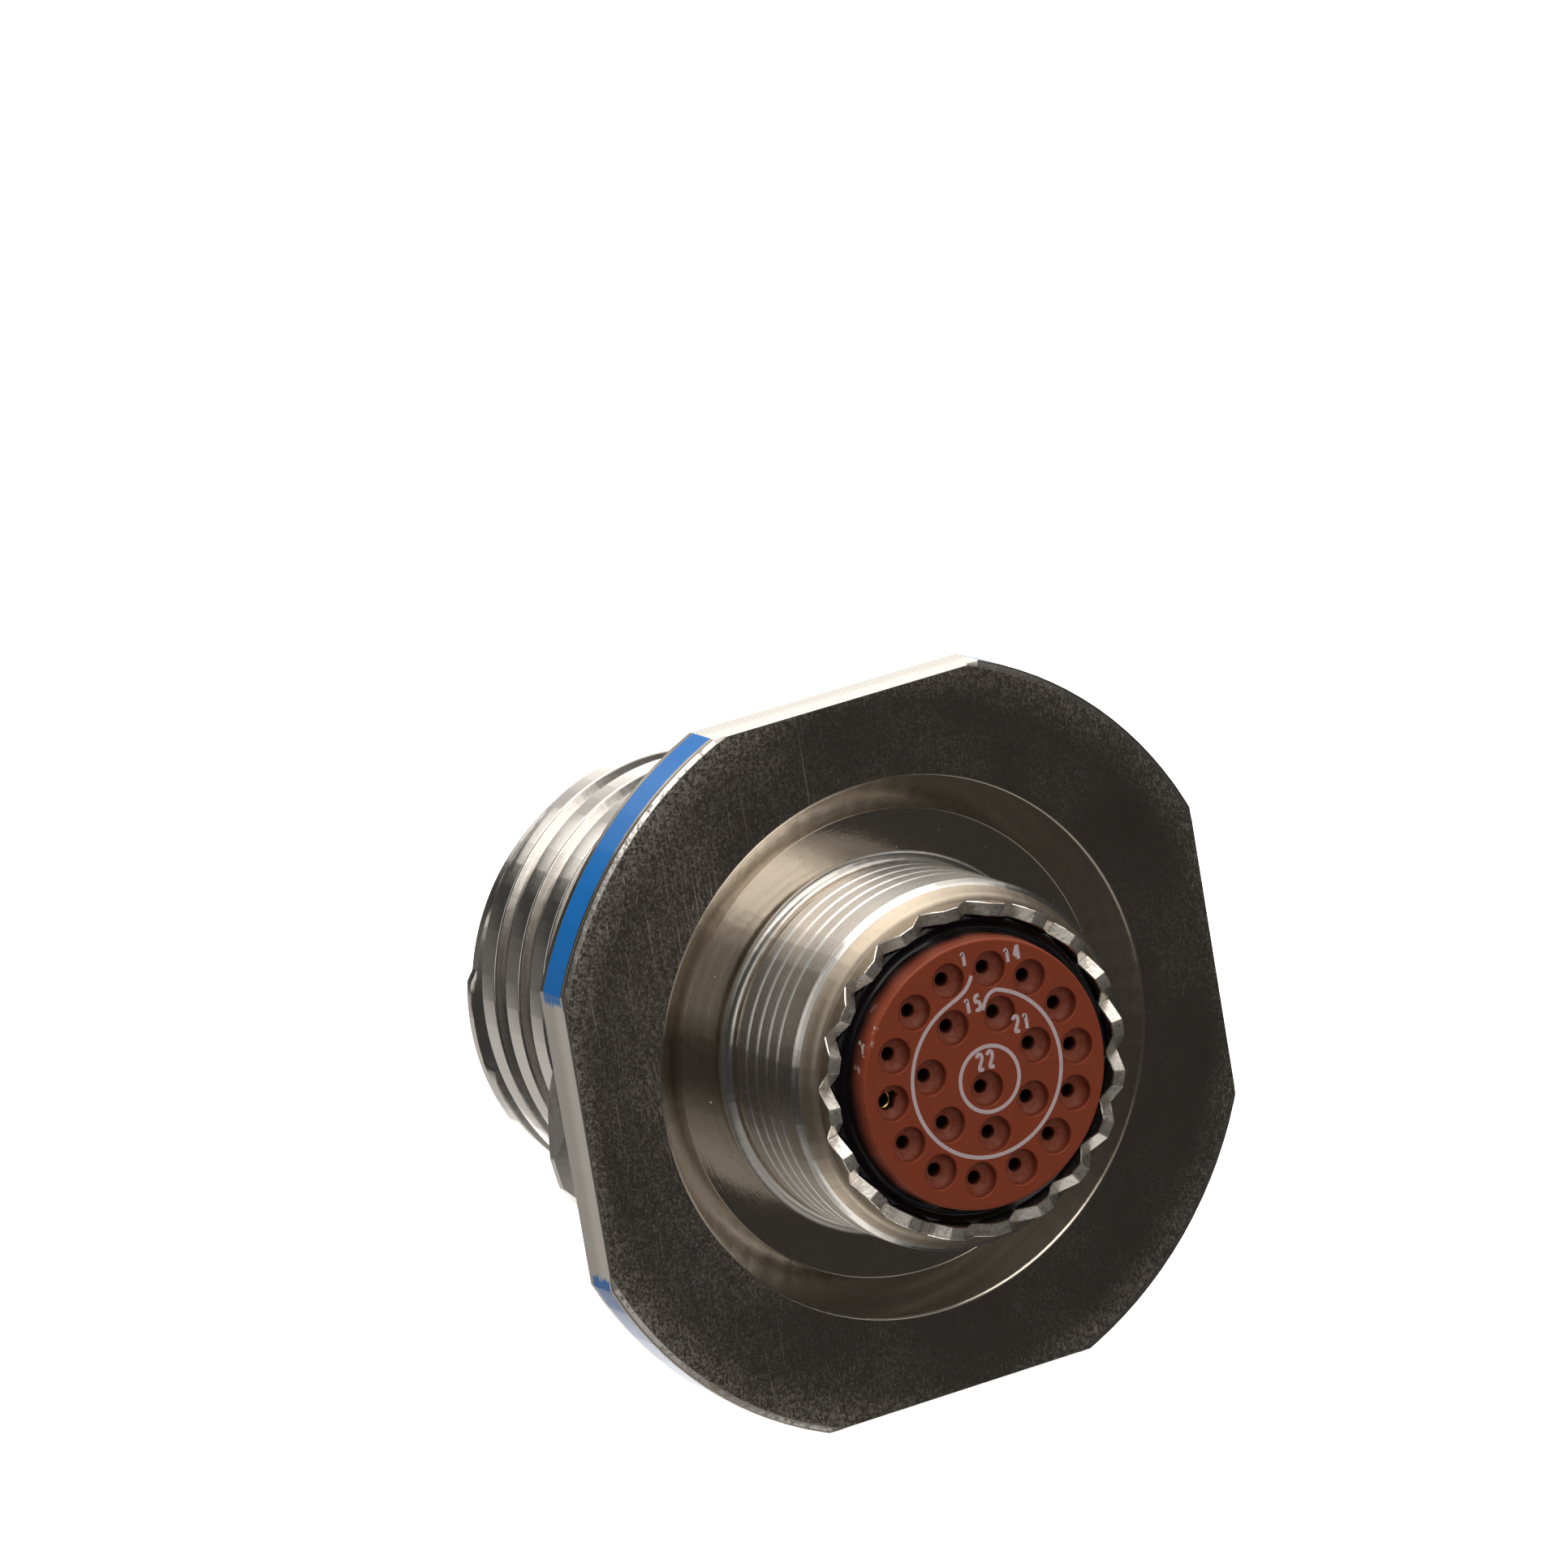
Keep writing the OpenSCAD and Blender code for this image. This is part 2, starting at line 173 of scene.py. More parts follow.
# Top of the bead from the bore inward: inset and rise, and the waves of its sway
BEAD_TOP = (
    (0.03, 0.12), (0.06, 0.27), (0.12, 0.36), (0.21, 0.39), (0.31, 0.35), (0.43, 0.29), (0.56, 0.27),
    (0.67, 0.29), (0.78, 0.36),
)
BEAD_WAVES = ((0.05, 3, 0.6), (0.04, 7, 2.1), (0.025, 13, 4.0))
SEAL_Z = -9.7
NOSE_Z = -8.8
NOSE_R = 6.92
NOSE_EDGE = 0.15
BARRIER_TIP_Z = SEAL_Z - 0.6
BARRIER = (
    (0, SEAL_Z + 0.3),
    (0.95, SEAL_Z + 0.3),
    (0.93, SEAL_Z - 0.05),
    (0.8, BARRIER_TIP_Z + 0.08),
    (0.72, BARRIER_TIP_Z),
    (0, BARRIER_TIP_Z),
)
PIN_HOLE_R = 0.41
PIN_TIP_Z = -15.0
PIN_R = 0.38
SHOULDER_Z = -1.4
LIP_Z = 0.3
CONTACT_Z = 4.6
# A contact from the pin's root to the bottom of its wire hole
CONTACT_PROFILE = (
    (PIN_R, SHOULDER_Z),
    (0.66, SHOULDER_Z),
    (0.72, SHOULDER_Z + 0.06),
    (0.72, LIP_Z - 0.06),
    (0.66, LIP_Z),
    (0.6, LIP_Z),
    (0.6, CONTACT_Z - 0.05),
    (0.55, CONTACT_Z),
    (0.46, CONTACT_Z),
    (0.43, CONTACT_Z - 0.04),
    (0.43, CONTACT_Z - 3.5),
    (0, CONTACT_Z - 3.6),
)
SEALING_RING_R = 0.89
SEALING_RING_GAP = 0.03

# Jam nut
NUT_Z = (-4.4, -1.5)
NUT_HALF_FLATS = 15.09
NUT_CORNER_R = 17.0
NUT_FACE_R = 15.9
NUT_SLOPE = 48
NUT_TURN = 8.7
NUT_EDGE = 0.04
NUT_BORE_R = 12.6
NUT_BORE_CHAMFER = 0.4
NUT_THREAD_INSET = 0.35
NUT_STEP = 1.5
NUT_WIRE_R = 15.57
NUT_WIRE_HOLE = ((0, -8), (0.6, -8), (0.6, 8), (0, 8))


def ring_spots(radius, count):
    """Places of a ring of contacts, counted anticlockwise from just right of the top."""
    turns = np.radians(90 - 180 / count + np.arange(count) * 360 / count)
    return [(radius * math.cos(a), radius * math.sin(a)) for a in turns]


SPOTS = ring_spots(*OUTER_RING) + ring_spots(*INNER_RING) + [MIDDLE_SPOT]


# Mesh making

def lay(points):
    """Points of the turning frame as points of the row frame, still in millimetres."""
    p = np.asarray(points, float)
    return np.stack([p[:, 0], -p[:, 2], p[:, 1]], axis=1)


def make_mesh(name, points, faces, finishes=None):
    """A welded mesh with its normals outward; finishes gives each face's material number."""
    mesh = bpy.data.meshes.new(name)
    mesh.from_pydata(lay(points).tolist(), [], faces)
    if finishes is not None:
        mesh.polygons.foreach_set("material_index", np.asarray(finishes, np.int32))
    work = bmesh.new()
    work.from_mesh(mesh)
    bmesh.ops.remove_doubles(work, verts=work.verts, dist=WELD)
    bmesh.ops.recalc_face_normals(work, faces=work.faces)
    work.to_mesh(mesh)
    work.free()
    return mesh


def make_object(name, mesh):
    obj = bpy.data.objects.new(name, mesh)
    bpy.context.scene.collection.objects.link(obj)
    return obj


def finish_piece(obj, materials, body, slot, *nodes):
    """Gives a piece its materials and edges, brings it to metres and ties it to the frame."""
    for material in materials:
        obj.data.materials.append(material)
    obj.data.shade_smooth()
    obj.data.set_sharp_from_angle(angle=SHARP)
    weighted = obj.modifiers.new("flat_faces_lead", "WEIGHTED_NORMAL")
    weighted.keep_sharp = True
    done = obj.evaluated_get(bpy.context.evaluated_depsgraph_get())
    obj.data = bpy.data.meshes.new_from_object(done)
    obj.modifiers.clear()
    obj.data.transform(Matrix.Scale(MM, 4))
    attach(obj, body)
    if nodes:
        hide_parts(*nodes)


def grid_faces(rows, columns, closed):
    """Faces of a grid whose rows run along the profile, and back to its first row if closed."""
    strips = rows if closed else rows - 1
    i = np.repeat(np.arange(strips), columns - 1)
    j = np.tile(np.arange(columns - 1), strips)
    k = (i + 1) % rows
    here = i * columns + j
    there = k * columns + j
    return np.stack([here, here + 1, there + 1, there], axis=1).tolist()


class Turning:
    """A turned piece as rows along its profile, each with a radius and a height at every angle."""

    def __init__(self, angles):
        self.angles = np.asarray(angles, float)
        self.radii = []
        self.heights = []
        self.finishes = []

    def add(self, r, z, finish=0):
        """One row; finish is the material of the strip from here to the next row."""
        self.radii.append(np.broadcast_to(r, self.angles.shape))
        self.heights.append(np.broadcast_to(z, self.angles.shape))
        self.finishes.append(np.broadcast_to(finish, (len(self.angles) - 1,)))

    def add_thread(self, lead, starts, origin, lines, radius, z_from, z_to, finish=0):
        """Rows that wind along a thread's edges between two heights, where they stop."""
        pitch = lead / starts
        first = math.floor((z_from - lead - origin) / pitch) - 1
        last = math.ceil((z_to - origin) / pitch) + 1
        for turn in range(first, last + 1):
            for line in lines:
                wound = origin + turn * pitch + line + lead * self.angles / 360
                z = np.clip(wound, z_from, z_to)
                self.add(radius(self.angles, z), z, finish)

    def mesh(self, name):
        r = np.array(self.radii)
        z = np.array(self.heights)
        a = np.radians(self.angles)
        points = np.stack([r * np.cos(a), r * np.sin(a), z], axis=-1).reshape(-1, 3)
        faces = grid_faces(len(r), len(a), closed=True)
        return make_mesh(name, points, faces, np.concatenate(self.finishes))


def even_angles(count):
    return np.linspace(0, 360, count + 1)


def turned_mesh(name, profile, count, spots=((0, 0),), closed=False):
    """A profile of (radius, height) pairs turned about the axis, once at each spot."""
    points = []
    faces = []
    a = np.radians(even_angles(count))
    r, z = np.array(profile, float).T
    for x, y in spots:
        ring = np.stack([
            x + r[:, None] * np.cos(a),
            y + r[:, None] * np.sin(a),
            z[:, None] + 0 * a,
        ], axis=-1).reshape(-1, 3)
        faces += (np.array(grid_faces(len(r), len(a), closed)) + len(points) * len(ring)).tolist()
        points.append(ring)
    return make_mesh(name, np.concatenate(points), faces)


def combine(obj, tool_mesh, operation):
    """Cuts a tool mesh from an object, or joins it on."""
    tool = make_object("tool", tool_mesh)
    step = obj.modifiers.new("step", "BOOLEAN")
    step.operation = operation
    step.solver = "EXACT"
    step.object = tool
    done = obj.evaluated_get(bpy.context.evaluated_depsgraph_get())
    mesh = bpy.data.meshes.new_from_object(done)
    obj.modifiers.remove(step)
    obj.data = mesh
    bpy.data.objects.remove(tool)


def arc(centre_r, centre_z, radius, start, stop, steps):
    """Points of a rounded corner in a profile, from one angle to another in degrees."""
    turns = np.radians(np.linspace(start, stop, steps))
    return [(centre_r + radius * math.cos(t), centre_z + radius * math.sin(t)) for t in turns]


# Material making

class Shade:
    """One node material. Its coordinates are millimetres in the row frame."""

    def __init__(self, name, metallic, specular=0.5):
        self.material = bpy.data.materials.new(name)
        self.material.use_nodes = True
        self.tree = self.material.node_tree
        self.bsdf = self.tree.nodes["Principled BSDF"]
        self.bsdf.inputs["Metallic"].default_value = metallic
        self.bsdf.inputs["Specular IOR Level"].default_value = specular
        where = self.node("ShaderNodeTexCoord").outputs["Object"]
        self.point = self.vector("SCALE", where, Scale=1 / MM)
        split = self.node("ShaderNodeSeparateXYZ", Vector=self.point)
        self.x, self.y, self.z = split.outputs
        across = self.math("MULTIPLY", self.x, self.x)
        upright = self.math("MULTIPLY", self.z, self.z)
        self.radius = self.math("SQRT", self.math("ADD", across, upright))
        self.normal = None

    def node(self, kind, **inputs):
        made = self.tree.nodes.new(kind)
        for name, value in inputs.items():
            self.put(made.inputs[name.replace("_", " ")], value)
        return made

    def put(self, socket, value):
        if isinstance(value, bpy.types.NodeSocket):
            self.tree.links.new(value, socket)
        else:
            socket.default_value = value

    def math(self, operation, a, b=0.0):
        made = self.tree.nodes.new("ShaderNodeMath")
        made.operation = operation
        self.put(made.inputs[0], a)
        self.put(made.inputs[1], b)
        return made.outputs[0]

    def vector(self, operation, a, **inputs):
        made = self.tree.nodes.new("ShaderNodeVectorMath")
        made.operation = operation
        self.put(made.inputs[0], a)
        for name, value in inputs.items():
            self.put(made.inputs[name], value)
        return made.outputs[0]

    def stretched(self, factors, turn=(0, 0, 0)):
        """The point turned and scaled, for grain that runs one way."""
        made = self.node("ShaderNodeMapping", Vector=self.point, Rotation=turn, Scale=factors)
        return made.outputs[0]

    def noise(self, scale, detail=2.0, point=None):
        made = self.node("ShaderNodeTexNoise", Vector=point or self.point, Scale=scale, Detail=detail)
        return made.outputs[0]

    def line_noise(self, along, scale, detail=3.0):
        """Noise that varies along one measure only, such as the lines a lathe leaves."""
        made = self.tree.nodes.new("ShaderNodeTexNoise")
        made.noise_dimensions = "1D"
        self.put(made.inputs["W"], along)
        self.put(made.inputs["Scale"], scale)
        self.put(made.inputs["Detail"], detail)
        return made.outputs[0]

    def remap(self, value, low, high, to_low=0.0, to_high=1.0, smooth=False):
        made = self.node("ShaderNodeMapRange", Value=value)
        made.interpolation_type = "SMOOTHSTEP" if smooth else "LINEAR"
        names = ("From Min", "From Max", "To Min", "To Max")
        for name, number in zip(names, (low, high, to_low, to_high)):
            self.put(made.inputs[name], number)
        return made.outputs[0]

    def mix(self, share, a, b):
        made = self.tree.nodes.new("ShaderNodeMix")
        made.data_type = "RGBA"
        self.put(made.inputs[0], share)
        self.put(made.inputs[6], a if isinstance(a, bpy.types.NodeSocket) else (*a, 1))
        self.put(made.inputs[7], b if isinstance(b, bpy.types.NodeSocket) else (*b, 1))
        return made.outputs[2]

    def blend(self, share, a, b):
        """A number that goes from a to b as share goes from 0 to 1."""
        return self.math("ADD", a, self.math("MULTIPLY", share, self.math("SUBTRACT", b, a)))

    def bump(self, height, depth):
        """Adds relief; depth is in millimetres for a height that runs from 0 to 1."""
        made = self.node("ShaderNodeBump", Height=height, Distance=depth * MM)
        if self.normal is not None:
            self.put(made.inputs["Normal"], self.normal)
        self.normal = made.outputs[0]

    def turn_gloss(self, amount):
        """Stretches the gloss along the axis, as the rings of turning do."""
        around = self.node("ShaderNodeTangent")
        around.direction_type = "RADIAL"
        around.axis = "Y"
        self.put(self.bsdf.inputs["Tangent"], around.outputs[0])
        self.bsdf.inputs["Anisotropic"].default_value = amount
        self.bsdf.inputs["Anisotropic Rotation"].default_value = 0.25

    def done(self, colour, roughness):
        self.put(self.bsdf.inputs["Base Color"], colour)
        self.put(self.bsdf.inputs["Roughness"], roughness)
        if self.normal is not None:
            self.put(self.bsdf.inputs["Normal"], self.normal)
        return self.material


NICKEL_LIGHT = (0.735, 0.70, 0.655)
NICKEL_DARK = (0.665, 0.63, 0.58)
RECESS_LIGHT = (0.64, 0.565, 0.48)
RECESS_DARK = (0.575, 0.50, 0.41)
CONE_LIGHT = (0.74, 0.665, 0.57)
CONE_DARK = (0.665, 0.59, 0.495)
NECK_LIGHT = (0.47, 0.40, 0.315)
NECK_DARK = (0.40, 0.335, 0.26)
NICKEL_STAIN = (0.36, 0.27, 0.18)
NICKEL_DUST = (0.95, 0.93, 0.9)
REAR_LIGHT = (0.82, 0.80, 0.77)
REAR_DARK = (0.75, 0.725, 0.69)
FACE_LIGHT = (0.52, 0.465, 0.405)
FACE_DARK = (0.44, 0.385, 0.33)
FACE_MARKS = (0.80, 0.75, 0.68)
EDGE_BRIGHT = (0.92, 0.89, 0.84)
EDGE_NICKS = (0.5, 0.44, 0.37)
FLAT_LIGHT = (0.66, 0.62, 0.565)
FLAT_DARK = (0.58, 0.54, 0.49)
FLAT_LINES = (0.46, 0.425, 0.38)
RIM_LIGHT = (0.44, 0.40, 0.35)
RIM_DARK = (0.36, 0.32, 0.275)
TOOTH_LIGHT = (0.78, 0.735, 0.67)
TOOTH_DARK = (0.64, 0.595, 0.53)
# Colour of the teeth towards the lower left
TOOTH_LOWER_LEFT = (0.90, 0.85, 0.78)
PAINT_BLUE = (0.016, 0.21, 0.64)
PAINT_DEEP = (0.012, 0.17, 0.54)
SILICONE_LIGHT = (0.40, 0.075, 0.029)
SILICONE_DARK = (0.33, 0.058, 0.022)
SILICONE_DUST = (0.40, 0.13, 0.075)
SILICONE_SPECKS = (0.50, 0.15, 0.08)
SILICONE_SCUFF = (0.66, 0.55, 0.50)
# Painted shade on the walls of the grommet's dishes
DISH_WALL_SHADE = (0.15, 0.026, 0.011)
# Painted light, with some dust, on the floors of the grommet's dishes
DISH_FLOOR_LIGHT_AND_DUST = (0.52, 0.24, 0.175)
# Painted shade deep in the grommet's wire holes
HOLE_SHADE = (0.05, 0.02, 0.012)
# Painted shade, with a smear of bonding compound, on the grommet's side
SIDE_SHADE_AND_SMEAR = (0.014, 0.007, 0.006)

# Rubbed strokes of the flange's face: turn in degrees, scale along and across, bounds of the noise
SHORT_STROKES = ((27, 1.5, 21.0, 0.62, 0.76), (-6, 1.8, 19.0, 0.64, 0.78), (48, 1.4, 18.0, 0.64, 0.76))
LONG_STROKES = ((31, 0.13, 18.0, 0.7, 0.74), (14, 0.1, 16.0, 0.71, 0.75))
CUTTER_PITCH = 0.15
CUTTER_SLANT = 0.39


def turned_nickel(name, smooth, rough, light=NICKEL_LIGHT, dark=NICKEL_DARK, stain=0.0, dusty=False):
    """Plated metal with the rings that turning leaves."""
    s = Shade(name, 1.0)
    cloud = s.noise(0.35, 3.0)
    rings = s.line_noise(s.math("ADD", s.y, s.radius), 9.0)
    colour = s.mix(cloud, light, dark)
    if stain:
        spots = s.remap(s.noise(0.8, 4.0), 0.55, 0.75, 0.0, stain, smooth=True)
        colour = s.mix(spots, colour, NICKEL_STAIN)
    wear = s.math("ADD", s.math("MULTIPLY", rings, 0.5), s.math("MULTIPLY", s.noise(2.5, 4.0), 0.5))
    s.bump(rings, 0.0012)
    s.bump(s.noise(3.0, 3.0), 0.004)
    gloss = s.remap(wear, 0.3, 0.7, smooth, rough)
    if dusty:
        dust = s.remap(s.noise(3.2, 1.0), 0.79, 0.81)
        colour = s.mix(dust, colour, NICKEL_DUST)
        gloss = s.blend(dust, gloss, 0.9)
    return s.done(colour, gloss)


def rear_nickel():
    """The threaded wire end: bright lands whose gloss spreads along the axis."""
    s = Shade("rear_barrel_nickel", 1.0)
    rings = s.line_noise(s.y, 11.0)
    grain = s.noise(9.0, 3.0)
    s.bump(grain, 0.0015)
    s.bump(rings, 0.0006)
    s.turn_gloss(0.97)
    colour = s.mix(s.noise(0.5, 3.0), REAR_LIGHT, REAR_DARK)
    return s.done(colour, s.remap(rings, 0.3, 0.7, 0.25, 0.3))


def strokes(s, ways):
    """Thin marks from 0 to 1 that run in one or more ways."""
    marks = 0.0
    for turn, along, across, low, high in ways:
        flow = s.noise(1.0, 4.0, s.stretched((across, 1.0, along), (0, math.radians(turn), 0)))
        marks = s.math("MAXIMUM", marks, s.remap(flow, low, high))
    return marks


def face_nickel():
    """The flange's rear face: smooth dark plate with rubbed strokes, specks and wear at its edges; its
    marks are lighter towards the left as painted light.
    """
    s = Shade("flange_face_nickel", 1.0)
    # Painted light from the left: the marks grow lighter and stronger towards the left; random wear patches
    # and wear at the outer edges are added in.
    left = s.remap(s.x, 9.0, -12.0)
    rim_wear = s.remap(s.radius, 16.8, 18.6)
    flat_wear = s.remap(s.x, -16.6, -17.4)
    outer_wear = s.math("MAXIMUM", rim_wear, flat_wear)
    patches = s.remap(s.noise(0.18, 3.0), 0.35, 0.7, 0.0, 0.5)
    wear_and_left_light = s.math("ADD", patches, s.math("MULTIPLY", left, 0.4))
    wear_and_left_light = s.math("ADD", wear_and_left_light, s.math("MULTIPLY", s.blend(left, 0.85, 1.0), outer_wear))
    grain = s.remap(s.noise(8.0, 3.0), 0.42, 0.72, 0.0, 0.5)
    specks = s.remap(s.noise(11.0, 2.0), 0.66, 0.74)
    marks = s.math("MAXIMUM", s.math("MAXIMUM", strokes(s, SHORT_STROKES), specks), grain)
    marks = s.math("MULTIPLY", marks, s.blend(wear_and_left_light, 0.06, 1.15))
    # The long lines fade out towards the right, as painted light from the left.
    long_lines = s.math("MULTIPLY", strokes(s, LONG_STROKES), left)
    marks = s.math("MINIMUM", s.math("MAXIMUM", marks, long_lines), 1.0)
    colour = s.mix(s.noise(0.25, 3.0), FACE_LIGHT, FACE_DARK)
    colour = s.mix(marks, colour, FACE_MARKS)
    s.bump(s.noise(12.0, 3.0), 0.0012)
    s.bump(marks, 0.003)
    return s.done(colour, s.blend(marks, s.remap(wear_and_left_light, 0.0, 1.2, 0.11, 0.2), 0.6))


def edge_nickel():
    """The burnished edge of the flange's face: bright and nicked."""
    s = Shade("flange_edge_nickel", 1.0)
    nicks = s.remap(s.noise(4.0, 4.0), 0.53, 0.62)
    colour = s.mix(nicks, EDGE_BRIGHT, EDGE_NICKS)
    s.bump(s.noise(3.0, 4.0), 0.02)
    return s.done(colour, s.blend(nicks, 0.2, 0.45))


def flat_nickel():
    """The milled flats: slanted cutter lines, and paint dragged over the ends of the left one."""
    s = Shade("flange_flat_nickel", 1.0)
    along = s.math("ADD", s.x, s.z)
    wobble = s.math("MULTIPLY", s.noise(0.7, 2.0), 0.1)
    slanted = s.math("ADD", s.math("SUBTRACT", along, s.math("MULTIPLY", s.y, CUTTER_SLANT)), wobble)
    lines = s.math("SINE", s.math("MULTIPLY", slanted, 2 * math.pi / CUTTER_PITCH))
    cut = s.math("MULTIPLY", s.remap(lines, -1, 1), s.remap(s.y, -1.7, -1.0))
    ragged = s.math("MULTIPLY", s.noise(5.0, 2.0, s.stretched((0.25, 2.0, 0.25))), 0.9)
    drag = s.remap(s.math("ADD", s.math("ABSOLUTE", s.z), ragged), 7.25, 7.33)
    left = s.remap(s.x, 1 - HALF_FLATS, 0.9 - HALF_FLATS)
    low = s.remap(s.y, -PAINT_TO, -PAINT_TO + 0.06)
    high = s.remap(s.y, -PAINT_FROM, -PAINT_FROM - 0.06)
    paint = s.math("MULTIPLY", s.math("MULTIPLY", drag, left), s.math("MULTIPLY", low, high))
    metal = s.mix(s.noise(0.6, 3.0), FLAT_LIGHT, FLAT_DARK)
    metal = s.mix(cut, metal, FLAT_LINES)
    s.bump(cut, 0.006)
    s.put(s.bsdf.inputs["Metallic"], s.math("SUBTRACT", 1.0, paint))
    return s.done(s.mix(paint, metal, PAINT_BLUE), s.blend(paint, s.blend(cut, 0.33, 0.42), 0.4))


def rim_nickel():
    """The flange's round edge: a painted band between two bare rims."""
    s = Shade("flange_rim_painted", 1.0, specular=0.28)
    shake = s.math("MULTIPLY", s.math("SUBTRACT", s.noise(3.0, 3.0), 0.5), 0.09)
    level = s.math("ADD", s.y, shake)
    low = s.remap(level, -PAINT_TO, -PAINT_TO + 0.035)
    high = s.remap(level, -PAINT_FROM, -PAINT_FROM - 0.035)
    paint = s.math("MULTIPLY", low, high)
    rings = s.line_noise(s.y, 9.0)
    metal = s.mix(s.noise(0.5, 3.0), RIM_LIGHT, RIM_DARK)
    blue = s.mix(s.noise(1.2, 4.0), PAINT_BLUE, PAINT_DEEP)
    s.bump(paint, 0.012)
    s.bump(s.noise(4.0, 3.0), 0.004)
    s.put(s.bsdf.inputs["Metallic"], s.math("SUBTRACT", 1.0, paint))
    gloss = s.remap(rings, 0.3, 0.7, 0.2, 0.3)
    return s.done(s.mix(paint, metal, blue), s.blend(paint, gloss, 0.22))


def tooth_nickel():
    """The toothed end: grainy cut faces, lighter towards the lower left."""
    s = Shade("tooth_nickel", 1.0)
    grain = s.noise(5.0, 4.0)
    colour = s.mix(s.noise(1.4, 3.0), TOOTH_LIGHT, TOOTH_DARK)
    # The teeth are made lighter towards the lower left.
    lower_left = s.math("ADD", s.z, s.math("MULTIPLY", s.x, 0.5))
    colour = s.mix(s.remap(lower_left, 3.0, -6.0), colour, TOOTH_LOWER_LEFT)
    s.bump(grain, 0.02)
    s.bump(s.noise(22.0, 2.0), 0.0015)
    return s.done(colour, s.remap(grain, 0.3, 0.7, 0.24, 0.42))


def red_silicone():
    """Matte rubber: dust specks; dishes with painted shade on their walls and in their throats and painted
    light with dust on their floors; painted shade with a smear of compound on the side; a few scuffs.
    """
    s = Shade("red_silicone_rubber", 0.0, specular=0.35)
    cloud = s.noise(0.7, 4.0)
    dust = s.remap(s.noise(4.5, 3.0), 0.66, 0.74, 0.0, 0.45)
    turn = s.math("ARCTAN2", s.z, s.x)
    side = s.math("MULTIPLY", s.remap(turn, 2.35, 2.5), s.remap(turn, 2.95, 2.8))
    edge = s.math("MULTIPLY", s.remap(s.radius, 6.35, 6.5), s.remap(s.y, -9.2, -9.5))
    marks = s.remap(s.noise(2.2, 5.0), 0.58, 0.64)
    scuff = s.math("MULTIPLY", s.math("MULTIPLY", side, edge), marks)
    colour = s.mix(cloud, SILICONE_LIGHT, SILICONE_DARK)
    colour = s.mix(dust, colour, SILICONE_DUST)
    colour = s.mix(s.remap(s.noise(15.0, 2.0), 0.5, 0.75, 0.0, 0.3), colour, SILICONE_SPECKS)
    inside = s.remap(s.radius, 6.45, 6.35)
    # Painted shade: each dish's wall, from just under its rim down to its floor, is darkened.
    below_rim = s.math("MULTIPLY", inside, s.remap(s.y, 0.03 - GROMMET_Z, 0.09 - GROMMET_Z))
    above_floor = s.remap(s.y, 0.52 - GROMMET_Z, 0.3 - GROMMET_Z, 0.0, 0.8)
    colour = s.mix(s.math("MULTIPLY", below_rim, above_floor), colour, DISH_WALL_SHADE)
    # Painted light with some dust: each dish's floor is lightened in patches.
    dished = s.math("MULTIPLY", inside, s.remap(s.y, 0.25 - GROMMET_Z, 0.5 - GROMMET_Z))
    floor_light_and_dust = s.remap(s.noise(3.0, 3.0), 0.35, 0.65, 0.06, 0.42)
    colour = s.mix(s.math("MULTIPLY", dished, floor_light_and_dust), colour, DISH_FLOOR_LIGHT_AND_DUST)
    # Painted shade: each wire hole is darkened below its dish.
    within = s.math("MULTIPLY", s.remap(s.y, -4.0, -5.0), inside)
    hole_shade = s.math("MULTIPLY", within, s.remap(s.y, 0.7 - GROMMET_Z, 1.0 - GROMMET_Z))
    colour = s.mix(hole_shade, colour, HOLE_SHADE)
    # Painted shade with a smear of bonding compound: the grommet's side darkens towards the bead, and
    # painted shade darkens its upper part.
    wall = s.remap(s.radius, 6.5, 6.56)
    fade = s.math("ADD", s.y, s.math("MULTIPLY", s.math("SUBTRACT", cloud, 0.5), 0.5))
    smear_and_shade = s.math("MULTIPLY", wall, s.remap(fade, 0.1 - GROMMET_Z, -0.55 - BEAD_Z))
    top_shade = s.math("MULTIPLY", wall, s.remap(s.z, 3.5, 6.0, 0.0, 0.4))
    colour = s.mix(s.math("MAXIMUM", smear_and_shade, top_shade), colour, SIDE_SHADE_AND_SMEAR)
    colour = s.mix(scuff, colour, SILICONE_SCUFF)
    s.bump(s.noise(9.0, 4.0), 0.006)
    s.bump(cloud, 0.02)
    return s.done(colour, s.remap(cloud, 0.3, 0.7, 0.5, 0.66))


def plain_shade(name, light, dark, scale, smooth, rough, depth, metallic=0.0, specular=0.5):
    """A moulded or plated surface: cloudy colour, uneven gloss and a fine grain."""
    s = Shade(name, metallic, specular)
    cloud = s.noise(scale, 4.0)
    grain = s.noise(scale * 8, 3.0)
    s.bump(grain, depth)
    return s.done(s.mix(cloud, light, dark), s.remap(grain, 0.3, 0.7, smooth, rough))


barrel_metal = turned_nickel("turned_nickel", smooth=0.15, rough=0.24)
rear_metal = rear_nickel()
recess_metal = turned_nickel("recess_nickel", smooth=0.1, rough=0.17, light=RECESS_LIGHT, dark=RECESS_DARK,
                             dusty=True)
cone_metal = turned_nickel("cone_nickel", smooth=0.12, rough=0.19, light=CONE_LIGHT, dark=CONE_DARK)
neck_metal = turned_nickel("neck_nickel", smooth=0.36, rough=0.48, light=NECK_LIGHT, dark=NECK_DARK)
face_metal = face_nickel()
edge_metal = edge_nickel()
flat_metal = flat_nickel()
rim_metal = rim_nickel()
tooth_metal = tooth_nickel()
nut_metal = turned_nickel("jam_nut_nickel", smooth=0.2, rough=0.32)
nut_flat_metal = turned_nickel("jam_nut_flat_nickel", smooth=0.28, rough=0.5, stain=0.7)
silicone = red_silicone()
ink = plain_shade("contact_print_ink", (0.90, 0.74, 0.77), (0.76, 0.58, 0.62),
                  scale=2.5, smooth=0.5, rough=0.7, depth=0.004)
